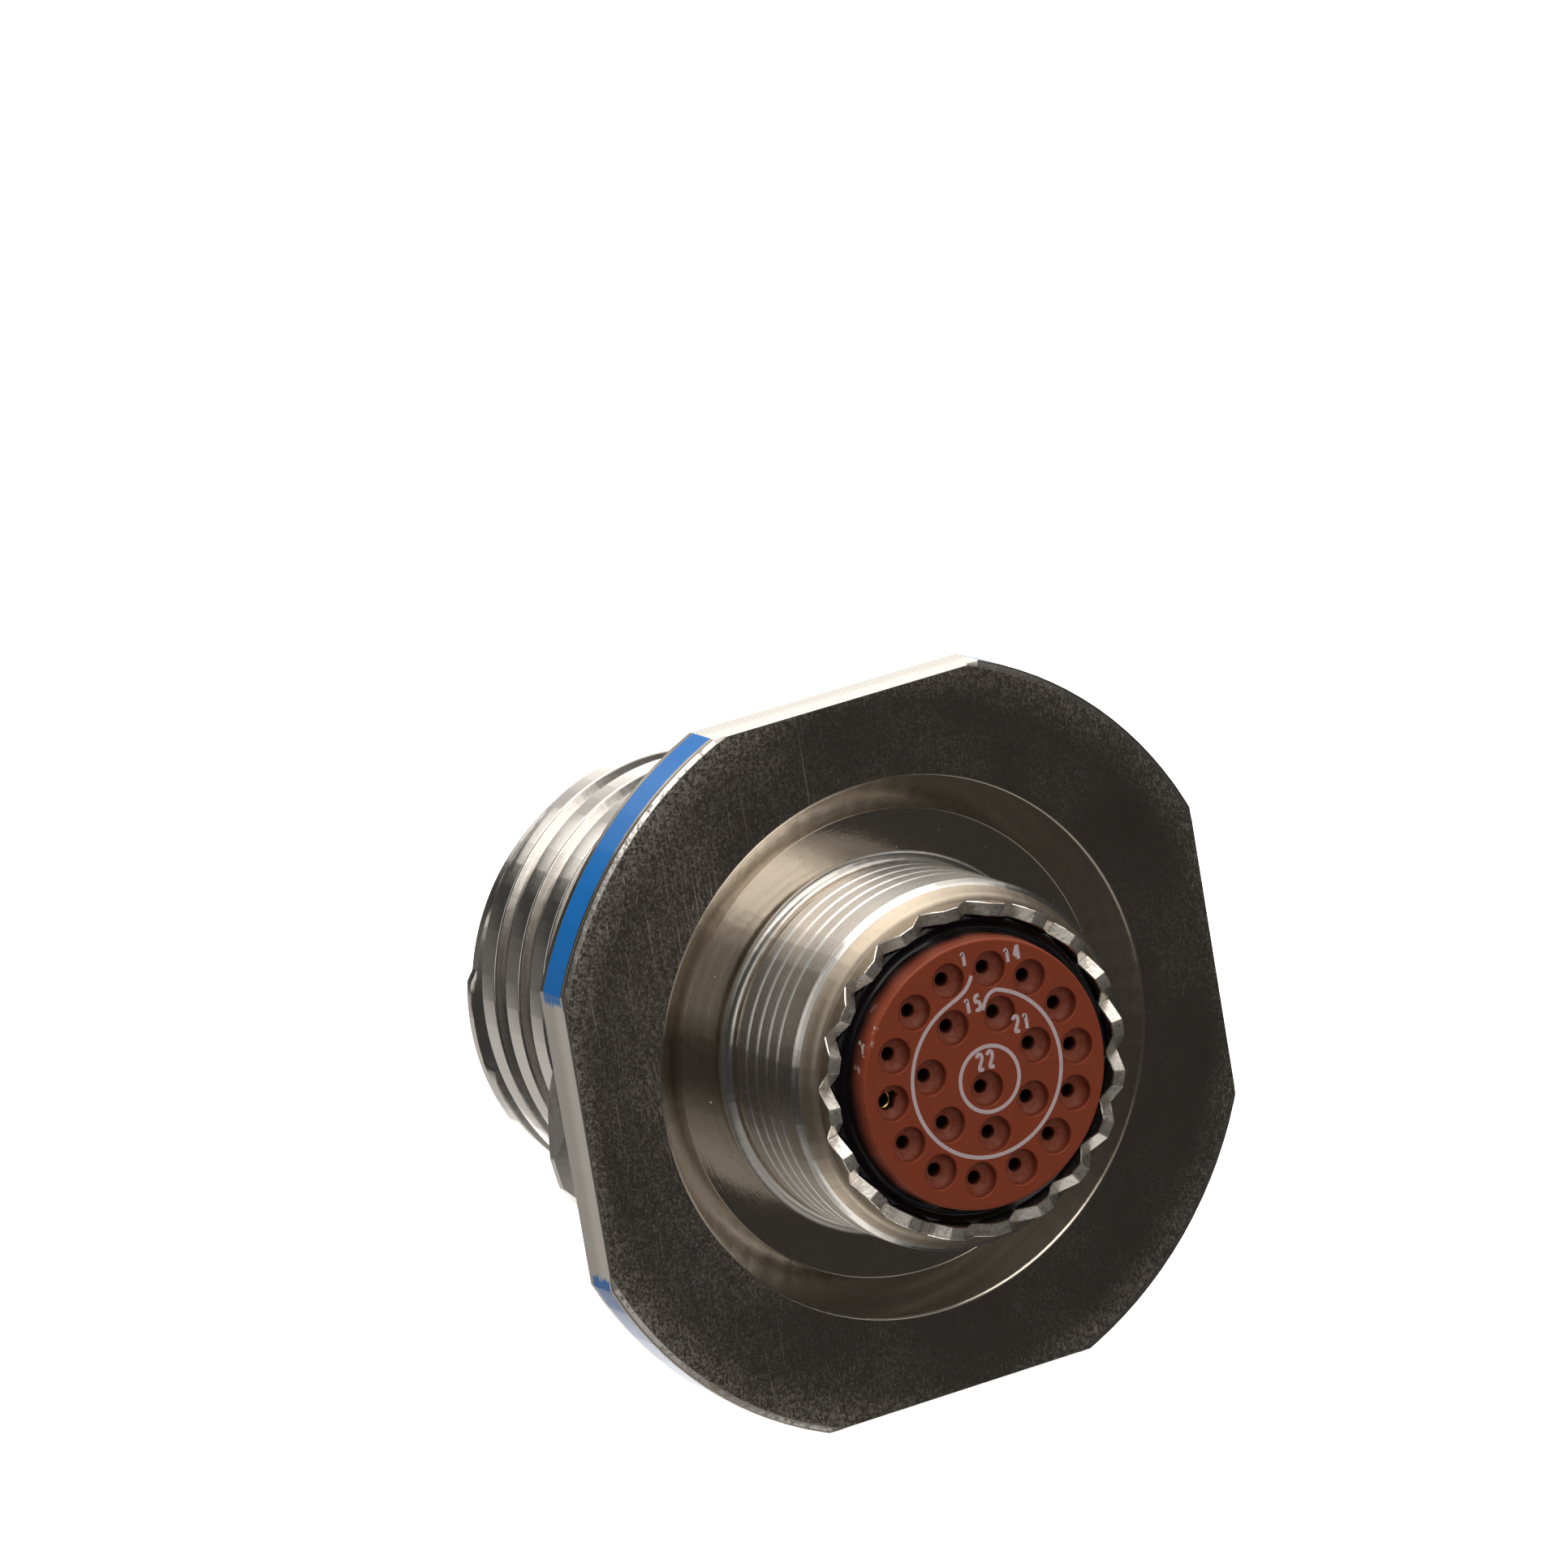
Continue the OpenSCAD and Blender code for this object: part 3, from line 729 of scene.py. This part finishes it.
epoxy = plain_shade("bonding_epoxy", (0.014, 0.012, 0.015), (0.008, 0.007, 0.009),
                    scale=0.9, smooth=0.08, rough=0.16, depth=0.003, specular=0.3)
rubber = plain_shade("sealing_rubber", (0.022, 0.022, 0.023), (0.014, 0.014, 0.015),
                     scale=0.8, smooth=0.45, rough=0.62, depth=0.006)
gold = plain_shade("contact_gold", (0.86, 0.60, 0.24), (0.78, 0.50, 0.17),
                   scale=1.2, smooth=0.14, rough=0.26, depth=0.001, metallic=1.0)
resin = plain_shade("insert_resin", (0.055, 0.06, 0.056), (0.04, 0.044, 0.041),
                    scale=1.0, smooth=0.4, rough=0.55, depth=0.004)
clip_metal = plain_shade("clip_copper", (0.74, 0.46, 0.27), (0.62, 0.36, 0.19),
                         scale=1.5, smooth=0.2, rough=0.34, depth=0.001, metallic=1.0)


# Shell

SHELL_FINISHES = [
    barrel_metal, recess_metal, face_metal, flat_metal, rim_metal,
    tooth_metal, rear_metal, neck_metal, edge_metal, cone_metal,
]
BARREL, RECESS, FACE, FLAT, RIM, TOOTH, REAR, NECK, EDGE, CONE = range(len(SHELL_FINISHES))
FLAT_STEP = 20.9
CORNER_STEP = 0.12


def shell_angles():
    """Angles at which the shell has an edge, with the steps between them."""
    steps = [start + d for start in range(0, 360, TOOTH_STEP) for d in TOOTH_ANGLES]
    corner = math.degrees(math.acos(HALF_FLATS / FLANGE_R))
    key_flat = math.degrees(math.acos(PANEL_FLAT / PANEL_R))
    for middle in (0, 90, 180, 270):
        for d in (FLAT_STEP, corner - CORNER_STEP, corner, corner + CORNER_STEP):
            steps += [middle - d, middle + d]
    steps += [270 - key_flat, 270 + key_flat]
    for middle, half in KEYS:
        steps += [middle + side * (half + d) for side in (-1, 1) for d in (-KEY_EASE, KEY_EASE)]
    return sorted({round(a % 360, 3) for a in steps} | {360.0})


def away(angles, middle, period):
    """Distance in degrees from the nearest of several evenly spaced angles."""
    return np.abs((angles - middle + period / 2) % period - period / 2)


# Fine threads: edges along one pitch, from the middle of a groove, and how deep the groove is there
FINE_PITCH = 1.0
FINE_LINES = (-0.17, -0.1, 0.02, 0.06, 0.09, 0.5)
FINE_CUT = (0, 0.53, 1, 1, 0)

# Coupling thread: edges along one pitch, with the share of the ridge's height
COUPLING_STARTS = 3
COUPLING_PITCH = 2.54
COUPLING_LEAD = COUPLING_STARTS * COUPLING_PITCH
COUPLING_ORIGIN = -21.35 - COUPLING_LEAD / 2
COUPLING_FIRST = -21.73
COUPLING_LAST = -12.45
COUPLING_SHAPE = (
    (0, 1), (0.06, 0.965), (0.12, 0.85), (0.35, 0.12), (0.45, 0), (0.89, 0), (0.99, 0.12),
    (1.22, 0.85), (1.28, 0.965), (1.34, 1), (1.94, 1),
)
COUPLING_FLANK = 0.45
GROOVE_MIDDLE = 0.67
BLUNT_START = 0.1
BLUNT_END = 0.2
COLLAR_R = 10.85
COLLAR_Z = -21.4


def fine_thread(crest_r, depth, origin, fade):
    """Radius of a fine thread; fade lists (height, share of depth)."""
    heights, shares = np.array(fade).T

    def radius(angles, z):
        wound = z - FINE_PITCH * angles / 360 - origin
        from_groove = (wound + FINE_PITCH / 2) % FINE_PITCH - FINE_PITCH / 2
        cut = np.interp(from_groove, FINE_LINES[:-1], FINE_CUT)
        return crest_r - depth * cut * np.interp(z, heights, shares)

    return radius


def coupling_radius(angles, z):
    """Radius of the triple thread; each ridge starts and ends bluntly."""
    wound = COUPLING_ORIGIN + COUPLING_LEAD * angles / 360
    turn = np.floor((z - wound) / COUPLING_PITCH)
    offset = z - wound - turn * COUPLING_PITCH
    ridge = wound + (turn + (offset > GROOVE_MIDDLE)) * COUPLING_PITCH
    begun = np.clip((ridge - COUPLING_FIRST) / BLUNT_START, 0, 1)
    share = begun * np.clip((COUPLING_LAST - ridge) / BLUNT_END, 0, 1)
    places, heights = np.array(COUPLING_SHAPE + ((COUPLING_PITCH, 1),)).T
    return ROOT_R + (CREST_R - ROOT_R) * share * np.interp(offset, places, heights)


def build_shell():
    angles = np.array(shell_angles())
    t = Turning(angles)
    keyed = CAVITY_R + KEY_DEPTH * sum(
        np.interp(away(angles, middle, 360), (half - KEY_EASE, half + KEY_EASE), (1, 0))
        for middle, half in KEYS)
    off_flat = np.cos(np.radians(away(angles, 0, 90)))
    off_key_flat = np.maximum(np.cos(np.radians(away(angles, 270, 360))), 0.1)
    middles = (angles[1:] + angles[:-1]) / 2
    corner = math.degrees(math.acos(HALF_FLATS / FLANGE_R))
    edge = np.where(away(middles, 0, 90) < corner, FLAT, RIM)
    burnished = np.where(edge == RIM, EDGE, edge)
    tooth = TEETH_Z - np.interp(away(angles, 0, TOOTH_STEP), *np.array(TOOTH_FLANK).T)

    def flats(r, inset):
        return np.minimum(r, (HALF_FLATS - inset) / off_flat)

    def panel_flat(r):
        return np.minimum(r, PANEL_FLAT / off_key_flat)

    # Front rim and coupling thread
    t.add(keyed + RIM_BREAK, RIM_Z)
    t.add(COLLAR_R - RIM_BREAK, RIM_Z)
    for z in np.linspace(RIM_Z + RIM_BREAK, COLLAR_Z, 6):
        t.add(np.maximum(COLLAR_R, coupling_radius(angles, z)), z)
    lines = [place for place, height in COUPLING_SHAPE]
    t.add_thread(COUPLING_LEAD, COUPLING_STARTS, COUPLING_ORIGIN, lines, coupling_radius,
                 COLLAR_Z + COUPLING_FLANK, COUPLING_LAST + COUPLING_FLANK)
    fillet = PANEL_ROOT_FILLET
    for r, z in arc(ROOT_R + fillet, PANEL_END - fillet, fillet, 180, 90, 5):
        t.add(r, z)

    # Barrel in the panel hole
    thread = fine_thread(PANEL_R, PANEL_THREAD_DEPTH, PANEL_THREAD_ORIGIN, PANEL_THREAD_FADE)
    t.add(panel_flat(PANEL_R - PANEL_CHAMFER - 0.05), PANEL_END)
    t.add_thread(FINE_PITCH, 1, PANEL_THREAD_ORIGIN, FINE_LINES, lambda a, z: panel_flat(thread(a, z)),
                 PANEL_END + PANEL_CHAMFER, PANEL_THREAD_STOP)
    t.add(panel_flat(PANEL_R), 0)

    # Flange
    inner, outer = GROOVE_R
    t.add(inner - GROOVE_BREAK, 0)
    t.add(inner, GROOVE_BREAK)
    t.add(inner, GROOVE_DEPTH)
    t.add(outer, GROOVE_DEPTH)
    t.add(outer, GROOVE_BREAK)
    t.add(outer + GROOVE_BREAK, 0)
    edge_finishes = (edge, edge, edge, edge, burnished, FACE, FACE)
    for (round_inset, flat_inset, z), finish in zip(FLANGE_EDGE, edge_finishes):
        t.add(flats(FLANGE_R - round_inset, flat_inset), z, finish)
    for out, up in RECESS_RIM:
        t.add(RECESS_R + out, FLANGE_T + up, CONE)
    for out, up in RECESS_FOOT:
        t.add(RECESS_FLOOR_R + out, FLOOR_Z + up, RECESS)
    for r, z in arc(RELIEF_R + FOOT_FILLET, FLOOR_Z + FOOT_FILLET, FOOT_FILLET, 270, 180, 9):
        t.add(r, z, BARREL)

    # Wire end
    thread = fine_thread(REAR_R, REAR_THREAD_DEPTH, REAR_THREAD_ORIGIN, REAR_THREAD_FADE)
    t.add(RELIEF_R, RELIEF_Z, BARREL)
    t.add_thread(FINE_PITCH, 1, REAR_THREAD_ORIGIN, FINE_LINES, thread, REAR_THREAD_START, THREAD_TOP, REAR)
    t.add(REAR_R - 0.02, THREAD_TOP + 0.03, BARREL)
    t.add(*NECK_EDGE, REAR)
    for r, z in NECK_PROFILE:
        t.add(r, z, NECK)
    for r, up in TOOTH_TOP:
        t.add(r, tooth + up, TOOTH)

    # Bore and mating cavity
    for r, z in CAVITY_PROFILE:
        t.add(r, z)
    t.add(keyed, KEY_Z)
    t.add(keyed, RIM_Z + RIM_BREAK)
    shell = make_object("shell_dressed", t.mesh("shell_dressed"))
    finish_piece(shell, SHELL_FINISHES, "receptacle", "nickel_plate", "shell")


def build_jam_nut():
    low, high = NUT_Z
    turned = math.degrees(math.acos(NUT_HALF_FLATS / NUT_CORNER_R))
    chamfered = math.degrees(math.acos(NUT_HALF_FLATS / NUT_FACE_R))
    steps = [-turned, turned, -chamfered, chamfered, *np.arange(-30, 30, NUT_STEP)]
    angles = {round((NUT_TURN + 30 + 60 * k + d) % 360, 3) for k in range(6) for d in steps}
    angles = np.array(sorted(angles | {0.0, 360.0}))
    hexagon = NUT_HALF_FLATS / np.cos(np.radians(away(angles, NUT_TURN + 30, 60)))
    outline = np.minimum(hexagon, NUT_CORNER_R)
    face = np.minimum(outline - NUT_EDGE, NUT_FACE_R)
    drop = np.maximum(NUT_EDGE, (outline - NUT_FACE_R) * math.tan(math.radians(NUT_SLOPE)))
    middles = (angles[1:] + angles[:-1]) / 2
    side = np.where(away(middles, NUT_TURN + 30, 60) < turned, 1, 0)
    t = Turning(angles)
    thread = fine_thread(NUT_BORE_R, -PANEL_THREAD_DEPTH, PANEL_THREAD_ORIGIN, ((low, 1), (high, 1)))
    t.add_thread(FINE_PITCH, 1, PANEL_THREAD_ORIGIN, FINE_LINES, thread,
                 low + NUT_THREAD_INSET, high - NUT_THREAD_INSET)
    t.add(NUT_BORE_R + NUT_BORE_CHAMFER, high)
    t.add(face, high)
    t.add(outline, high - drop, side)
    t.add(outline, low + drop)
    t.add(face, low)
    t.add(NUT_BORE_R + NUT_BORE_CHAMFER, low)
    nut = make_object("jam_nut_dressed", t.mesh("jam_nut_dressed"))
    wire = turned_mesh("wire_holes", NUT_WIRE_HOLE, count=24)
    for k in range(3):
        hole = wire.copy()
        turn = Matrix.Rotation(math.radians(NUT_TURN + 120 * k), 4, "Y").inverted()
        place = Matrix.Translation((NUT_WIRE_R, -(low + high) / 2, 0))
        hole.transform(turn @ place @ Matrix.Rotation(math.radians(90), 4, "X"))
        combine(nut, hole, "DIFFERENCE")
    finish_piece(nut, [nut_metal, nut_flat_metal], "nut", "nickel_plate", "jam_nut")


def build_seals():
    ring_z = GROOVE_DEPTH - SEALING_RING_GAP - SEALING_RING_R
    ring = arc(sum(GROOVE_R) / 2, ring_z, SEALING_RING_R, 0, 360, 37)[:-1]
    mesh = turned_mesh("panel_o_ring_dressed", ring, count=160, closed=True)
    obj = make_object("panel_o_ring_dressed", mesh)
    finish_piece(obj, [rubber], "receptacle", "black_rubber", "panel_o_ring")

    edge = arc(NOSE_R - NOSE_EDGE, SEAL_Z + NOSE_EDGE, NOSE_EDGE, 0, -90, 4)
    disc = [(0, NOSE_Z), (NOSE_R, NOSE_Z), *edge, (0, SEAL_Z)]
    obj = make_object("face_seal_dressed", turned_mesh("face_seal_dressed", disc, count=120))
    combine(obj, turned_mesh("barriers", BARRIER, count=32, spots=SPOTS), "UNION")
    top = NOSE_Z + 1
    bottom = BARRIER_TIP_Z - 1
    hole = [(0, top), (PIN_HOLE_R, top), (PIN_HOLE_R, bottom), (0, bottom)]
    combine(obj, turned_mesh("pin_holes", hole, count=24, spots=SPOTS), "DIFFERENCE")
    finish_piece(obj, [silicone], "receptacle", "red_silicone", "face_seal")


def raised(profile, base):
    """A profile moved up to start from a height."""
    return [(r, base + z) for r, z in profile]


def build_grommet():
    edge = arc(GROMMET_R - GROMMET_EDGE, GROMMET_Z - GROMMET_EDGE, GROMMET_EDGE, 8, 90, 5)
    foot = [(0, GROMMET_FOOT_Z), (GROMMET_FOOT_R, GROMMET_FOOT_Z), (GROMMET_FOOT_R, BEAD_Z - BEAD_SINK)]
    body = turned_mesh("grommet_dressed", [*foot, *edge, (0, GROMMET_Z)], count=144)
    obj = make_object("grommet_dressed", body)
    holes = turned_mesh("wire_holes", raised(FUNNEL, GROMMET_Z), count=36, spots=SPOTS)
    combine(obj, holes, "DIFFERENCE")
    x, y = SPOTS[TORN_HOLE]
    beside = (x + SPLIT_OFF[0], y + SPLIT_OFF[1])
    combine(obj, turned_mesh("tear", raised(TEAR, TORN_Z), TEAR_SIDES, ((x, y),)), "DIFFERENCE")
    combine(obj, turned_mesh("split", raised(SPLIT, TORN_Z), SPLIT_SIDES, (beside,)), "DIFFERENCE")
    finish_piece(obj, [silicone], "receptacle", "red_silicone", "grommet")
    rim = turned_mesh("torn_hole_rim", raised(BRIGHT_RIM, TORN_Z), count=48, spots=((x, y),), closed=True)
    obj = make_object("torn_hole_rim", rim)
    finish_piece(obj, [gold], "receptacle", "contact_gold")


def build_bead():
    """The bonding compound round the grommet: a glossy ring with a rounded, uneven top."""
    angles = even_angles(180)
    a = np.radians(angles)
    sway = sum(size * np.sin(waves * a + start) for size, waves, start in BEAD_WAVES)
    t = Turning(angles)
    t.add(BORE_R - BEAD_LAP, BEAD_Z - BEAD_H)
    for inset, rise in BEAD_TOP:
        t.add(BORE_R - inset, BEAD_Z + rise + sway)
    t.add(GROMMET_FOOT_R + BEAD_LAP, BEAD_Z - BEAD_SINK)
    t.add(GROMMET_FOOT_R + BEAD_LAP, BEAD_Z - BEAD_H)
    obj = make_object("bonding_bead_dressed", t.mesh("bonding_bead_dressed"))
    finish_piece(obj, [epoxy], "receptacle", "black_epoxy", "bonding_bead")


def build_contacts():
    tip = arc(0, PIN_TIP_Z + PIN_R, PIN_R, -75, 0, 6)
    profile = [(0, PIN_TIP_Z), *tip, *CONTACT_PROFILE]
    for i, spot in enumerate(SPOTS, start=1):
        name = f"contact_{i:02d}"
        mesh = turned_mesh(name + "_dressed", profile, count=28, spots=(spot,))
        obj = make_object(name + "_dressed", mesh)
        finish_piece(obj, [gold], "receptacle", "contact_gold", name)


build_shell()
build_jam_nut()
build_seals()
build_grommet()
build_bead()
build_contacts()


# Print on the grommet: the lines and numbers that show the order of the contacts

LINE_W = 0.19
STROKE_W = 0.18
INK_LOW = GROMMET_Z - 0.004
INK_HIGH = GROMMET_Z + 0.008
INK_LAP = 0.003
HOLE_CLEAR = 0.915
# Strokes of each digit in a box one unit high
DIGITS = {
    "1": [[(0.02, 0.76), (0.26, 1.0), (0.26, 0.0)]],
    "2": [[(0.0, 0.78), (0.1, 0.95), (0.28, 1.0), (0.46, 0.92), (0.5, 0.72), (0.4, 0.5), (0.0, 0.0),
           (0.52, 0.0)]],
    "4": [[(0.4, 0.0), (0.4, 1.0)], [(0.38, 0.98), (0.0, 0.34)], [(0.0, 0.32), (0.6, 0.32)]],
    "5": [[(0.48, 1.0), (0.06, 1.0), (0.02, 0.56), (0.26, 0.62), (0.46, 0.5), (0.5, 0.26), (0.36, 0.04),
           (0.16, 0.0), (0.0, 0.12)]],
}
DIGIT_WIDTH = 0.72
# Each number's place and height
LABELS = (
    ("1", -0.02, 5.8, 0.68),
    ("14", 2.56, 5.36, 0.7),
    ("15", 0.08, 3.52, 0.74),
    ("21", 2.48, 1.97, 0.78),
    ("22", 0.26, 0.68, 0.8),
)
# The long line round the inner ring, with its bent ends, and the ring round the middle contact
LOOP_MIDDLE = (0.1, 0.03)
LOOP_R = 4.05
LOOP_TURNS = (112, 434)
LOOP_START = [(0.12, 4.9), (-0.1, 4.5), (-0.55, 4.12)]
LOOP_END = [(0.75, 3.72), (0.42, 3.1)]
RING_MIDDLE = (0.2, -0.26)
RING_R = 1.6


def smooth_path(points, count):
    """A path resampled evenly along its length, with its corners eased."""
    p = np.array(points, float)
    for _ in range(2):
        q = np.empty((2 * len(p) - 2, 2))
        q[0::2] = 0.75 * p[:-1] + 0.25 * p[1:]
        q[1::2] = 0.25 * p[:-1] + 0.75 * p[1:]
        q[0] = p[0]
        q[-1] = p[-1]
        p = q
    along = np.concatenate([[0], np.cumsum(np.hypot(*np.diff(p, axis=0).T))])
    at = np.linspace(0, along[-1], count)
    return np.stack([np.interp(at, along, p[:, 0]), np.interp(at, along, p[:, 1])], axis=1)


def ribbon(path, width, top):
    """A thin flat bar of ink along a path: its points and faces."""
    run = np.gradient(path, axis=0)
    run /= np.linalg.norm(run, axis=1)[:, None]
    side = np.stack([-run[:, 1], run[:, 0]], axis=1) * width / 2
    points = []
    for p, s in zip(path, side):
        for q, z in ((p - s, INK_LOW), (p + s, INK_LOW), (p + s, top), (p - s, top)):
            points.append((q[0], q[1], z))
    faces = [[4 * k + j, 4 * k + (j + 1) % 4, 4 * k + 4 + (j + 1) % 4, 4 * k + 4 + j]
             for k in range(len(path) - 1) for j in range(4)]
    return points, faces + [[0, 1, 2, 3], [len(points) - 1 - j for j in range(4)]]


def clear_runs(path):
    """Splits a path where it would run over a wire hole."""
    gap = np.min([np.hypot(path[:, 0] - x, path[:, 1] - y) for x, y in SPOTS], axis=0)
    clear = gap > HOLE_CLEAR
    runs = np.split(np.arange(len(path)), np.flatnonzero(np.diff(clear.astype(int))) + 1)
    return [path[run] for run in runs if clear[run[0]] and len(run) > 2]


def build_print():
    loop = LOOP_START + arc(*LOOP_MIDDLE, LOOP_R, *LOOP_TURNS, 60) + LOOP_END
    ring = arc(*RING_MIDDLE, RING_R, 0, 360, 60)
    runs = clear_runs(smooth_path(loop, 220)) + clear_runs(smooth_path(ring, 120))
    bars = [(run, LINE_W, INK_HIGH) for run in runs]
    for word, x, y, height in LABELS:
        width = DIGIT_WIDTH * height
        for k, digit in enumerate(word):
            left = x + width * (k - len(word) / 2)
            for lap, line in enumerate(DIGITS[digit]):
                placed = [(left + width * px, y + height * (py - 0.5)) for px, py in line]
                bars.append((smooth_path(placed, 24), STROKE_W, INK_HIGH + lap * INK_LAP))
    points = []
    faces = []
    for path, width, top in bars:
        more_points, more_faces = ribbon(path, width, top)
        faces += [[len(points) + v for v in face] for face in more_faces]
        points += more_points
    obj = make_object("contact_print", make_mesh("contact_print", points, faces))
    finish_piece(obj, [ink], "receptacle", None)


build_print()

# Inner pieces that keep their CAD shape
for name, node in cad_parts.items():
    inner = clip_metal if name.startswith("retention_clip") else resin
    if not node.hide_render:
        node.data.materials.clear()
        node.data.materials.append(inner)


# Studio

FLOOR_GAP = 0.3
FLOOR_SIZE = 1.2
FLOOR_GLOW = 0.95


def build_floor():
    """A pale floor that is lit evenly, so it reads as plain white."""
    drop = cad_low.z - FLOOR_GAP * MM
    half = FLOOR_SIZE / 2
    corners = [(-half, -half, drop), (half, -half, drop), (half, half, drop), (-half, half, drop)]
    mesh = bpy.data.meshes.new("floor")
    mesh.from_pydata(corners, [], [[0, 1, 2, 3]])
    s = Shade("floor_white", 0.0)
    s.done(s.mix(s.noise(0.02), (0.9, 0.9, 0.9), (0.92, 0.92, 0.92)), 0.9)
    s.bsdf.inputs["Emission Color"].default_value = (1, 1, 1, 1)
    s.bsdf.inputs["Emission Strength"].default_value = FLOOR_GLOW
    mesh.materials.append(s.material)
    floor = make_object("floor", mesh)
    floor.visible_glossy = False
    floor.visible_diffuse = False


HALF_TURN = 180


def window(shade, value, low, high, soft):
    """1 between two bounds and 0 outside, with soft edges; a bound past the half turn is open."""
    share = 1.0
    if low > -HALF_TURN:
        share = shade.remap(value, low - soft, low + soft, smooth=True)
    if high < HALF_TURN:
        falling = shade.remap(value, high + soft, high - soft, smooth=True)
        share = shade.math("MULTIPLY", share, falling)
    return share


# Soft lights round the object: azimuth from the wire side towards +X and elevation, with the
# half width of the soft edge, all in degrees, and the brightness
LIGHTS = (
    (0, 24, 17, 45, 6, 1.7),
    (-10, 0, 20, 45, 5, 2.2),
    (-18, -10, 20, 45, 5, 0.3),
    (-18, -2, 5, 18, 4, 0.3),
    (-181, 181, 64, 95, 8, 2.8),
    (0, 90, 44, 66, 9, 1.0),
    (-92, -54, 10, 64, 8, 0.75),
    (-54, -14, 44, 66, 8, 0.28),
    (-181, -160, 26, 66, 5, 1.4),
    (-160, -126, 48, 66, 6, 3.0),
    (-120, -92, 48, 66, 8, 0.3),
    (130, 181, 46, 66, 8, 2.2),
    (138, 166, -10, 46, 8, 1.3),
    (145, 161, 7, 21, 5, 0.7),
    (166, 181, -10, 46, 8, 0.55),
    (-181, -122, -42, -8, 8, 0.55),
    (-140, -86, -78, -42, 8, 1.4),
    (140, 181, -45, -12, 8, 2.1),
    (-181, 45, -95, -60, 10, 0.6),
    (-86, -18, -60, -24, 8, 0.28),
    (-18, 24, -48, -26, 6, 0.36),
    (95, 130, 34, 66, 8, 2.2),
    (28, 95, 22, 44, 8, 0.12),
    (26, 34, -5, 5, 4, 1.0),
    (-2, 20, -3, 17, 6, 0.12),
    (-181, -122, -8, 12, 6, 0.1),
)
ROOM_DARK = 0.045
STUDIO_TINT = (1, 0.975, 0.94, 1)


class WorldShade(Shade):
    """Node helpers on the world's tree, where the coordinates are the direction looked in."""

    def __init__(self, world):
        world.use_nodes = True
        self.tree = world.node_tree
        self.tree.nodes.clear()
        where = self.node("ShaderNodeTexCoord").outputs["Generated"]
        split = self.node("ShaderNodeSeparateXYZ", Vector=where)
        self.x, self.y, self.z = split.outputs


def build_world():
    world = bpy.data.worlds.new("studio")
    bpy.context.scene.world = world
    s = WorldShade(world)
    azimuth = s.math("DEGREES", s.math("ARCTAN2", s.x, s.math("MULTIPLY", s.y, -1)))
    elevation = s.math("DEGREES", s.math("ARCSINE", s.z))
    light = ROOM_DARK
    for left, right, low, high, soft, strength in LIGHTS:
        across = window(s, azimuth, left, right, soft)
        upright = window(s, elevation, low, high, soft)
        patch = s.math("MULTIPLY", across, upright)
        light = s.math("ADD", light, s.math("MULTIPLY", patch, strength))
    studio = s.node("ShaderNodeBackground", Color=STUDIO_TINT, Strength=light)
    plain = s.node("ShaderNodeBackground", Color=(1, 1, 1, 1), Strength=1.0)
    seen = s.node("ShaderNodeLightPath").outputs["Is Camera Ray"]
    both = s.tree.nodes.new("ShaderNodeMixShader")
    s.put(both.inputs[0], seen)
    s.put(both.inputs[1], studio.outputs[0])
    s.put(both.inputs[2], plain.outputs[0])
    out = s.tree.nodes.new("ShaderNodeOutputWorld")
    s.put(out.inputs["Surface"], both.outputs[0])


# Camera, fitted to the photograph's 1932 x 1932 frame
FRAME_PX = 1932
FOCAL_PX = 15902.245
SENSOR = 36.0
CLIP_NEAR = 0.05
CLIP_FAR = 20
TURN_VECTOR = (0.208810790, 0.481101326, 0.221815951)
SHIFT_VECTOR = (5.81075072, -12.6491104, -618.936826)


def build_camera():
    """Places the camera; the turn and shift take points from the flange's rear face to it."""
    data = bpy.data.cameras.new("camera")
    data.sensor_width = SENSOR
    data.lens = SENSOR * FOCAL_PX / FRAME_PX
    data.clip_start = CLIP_NEAR
    data.clip_end = CLIP_FAR
    cam = bpy.data.objects.new("camera", data)
    bpy.context.scene.collection.objects.link(cam)
    length = math.sqrt(sum(c * c for c in TURN_VECTOR))
    turn = Matrix.Rotation(length, 4, TURN_VECTOR)
    to_camera = Matrix.Translation(SHIFT_VECTOR) @ turn @ Matrix.Translation((0, 0, -FLANGE_T))
    row_to_turning = Matrix(((1, 0, 0, 0), (0, 0, 1, 0), (0, -1, 0, 0), (0, 0, 0, 1)))
    placed = (to_camera @ row_to_turning).inverted()
    placed.translation *= MM
    cam.matrix_world = placed
    bpy.context.scene.camera = cam


build_floor()
build_world()
build_camera()
bpy.context.scene.view_settings.view_transform = "Standard"
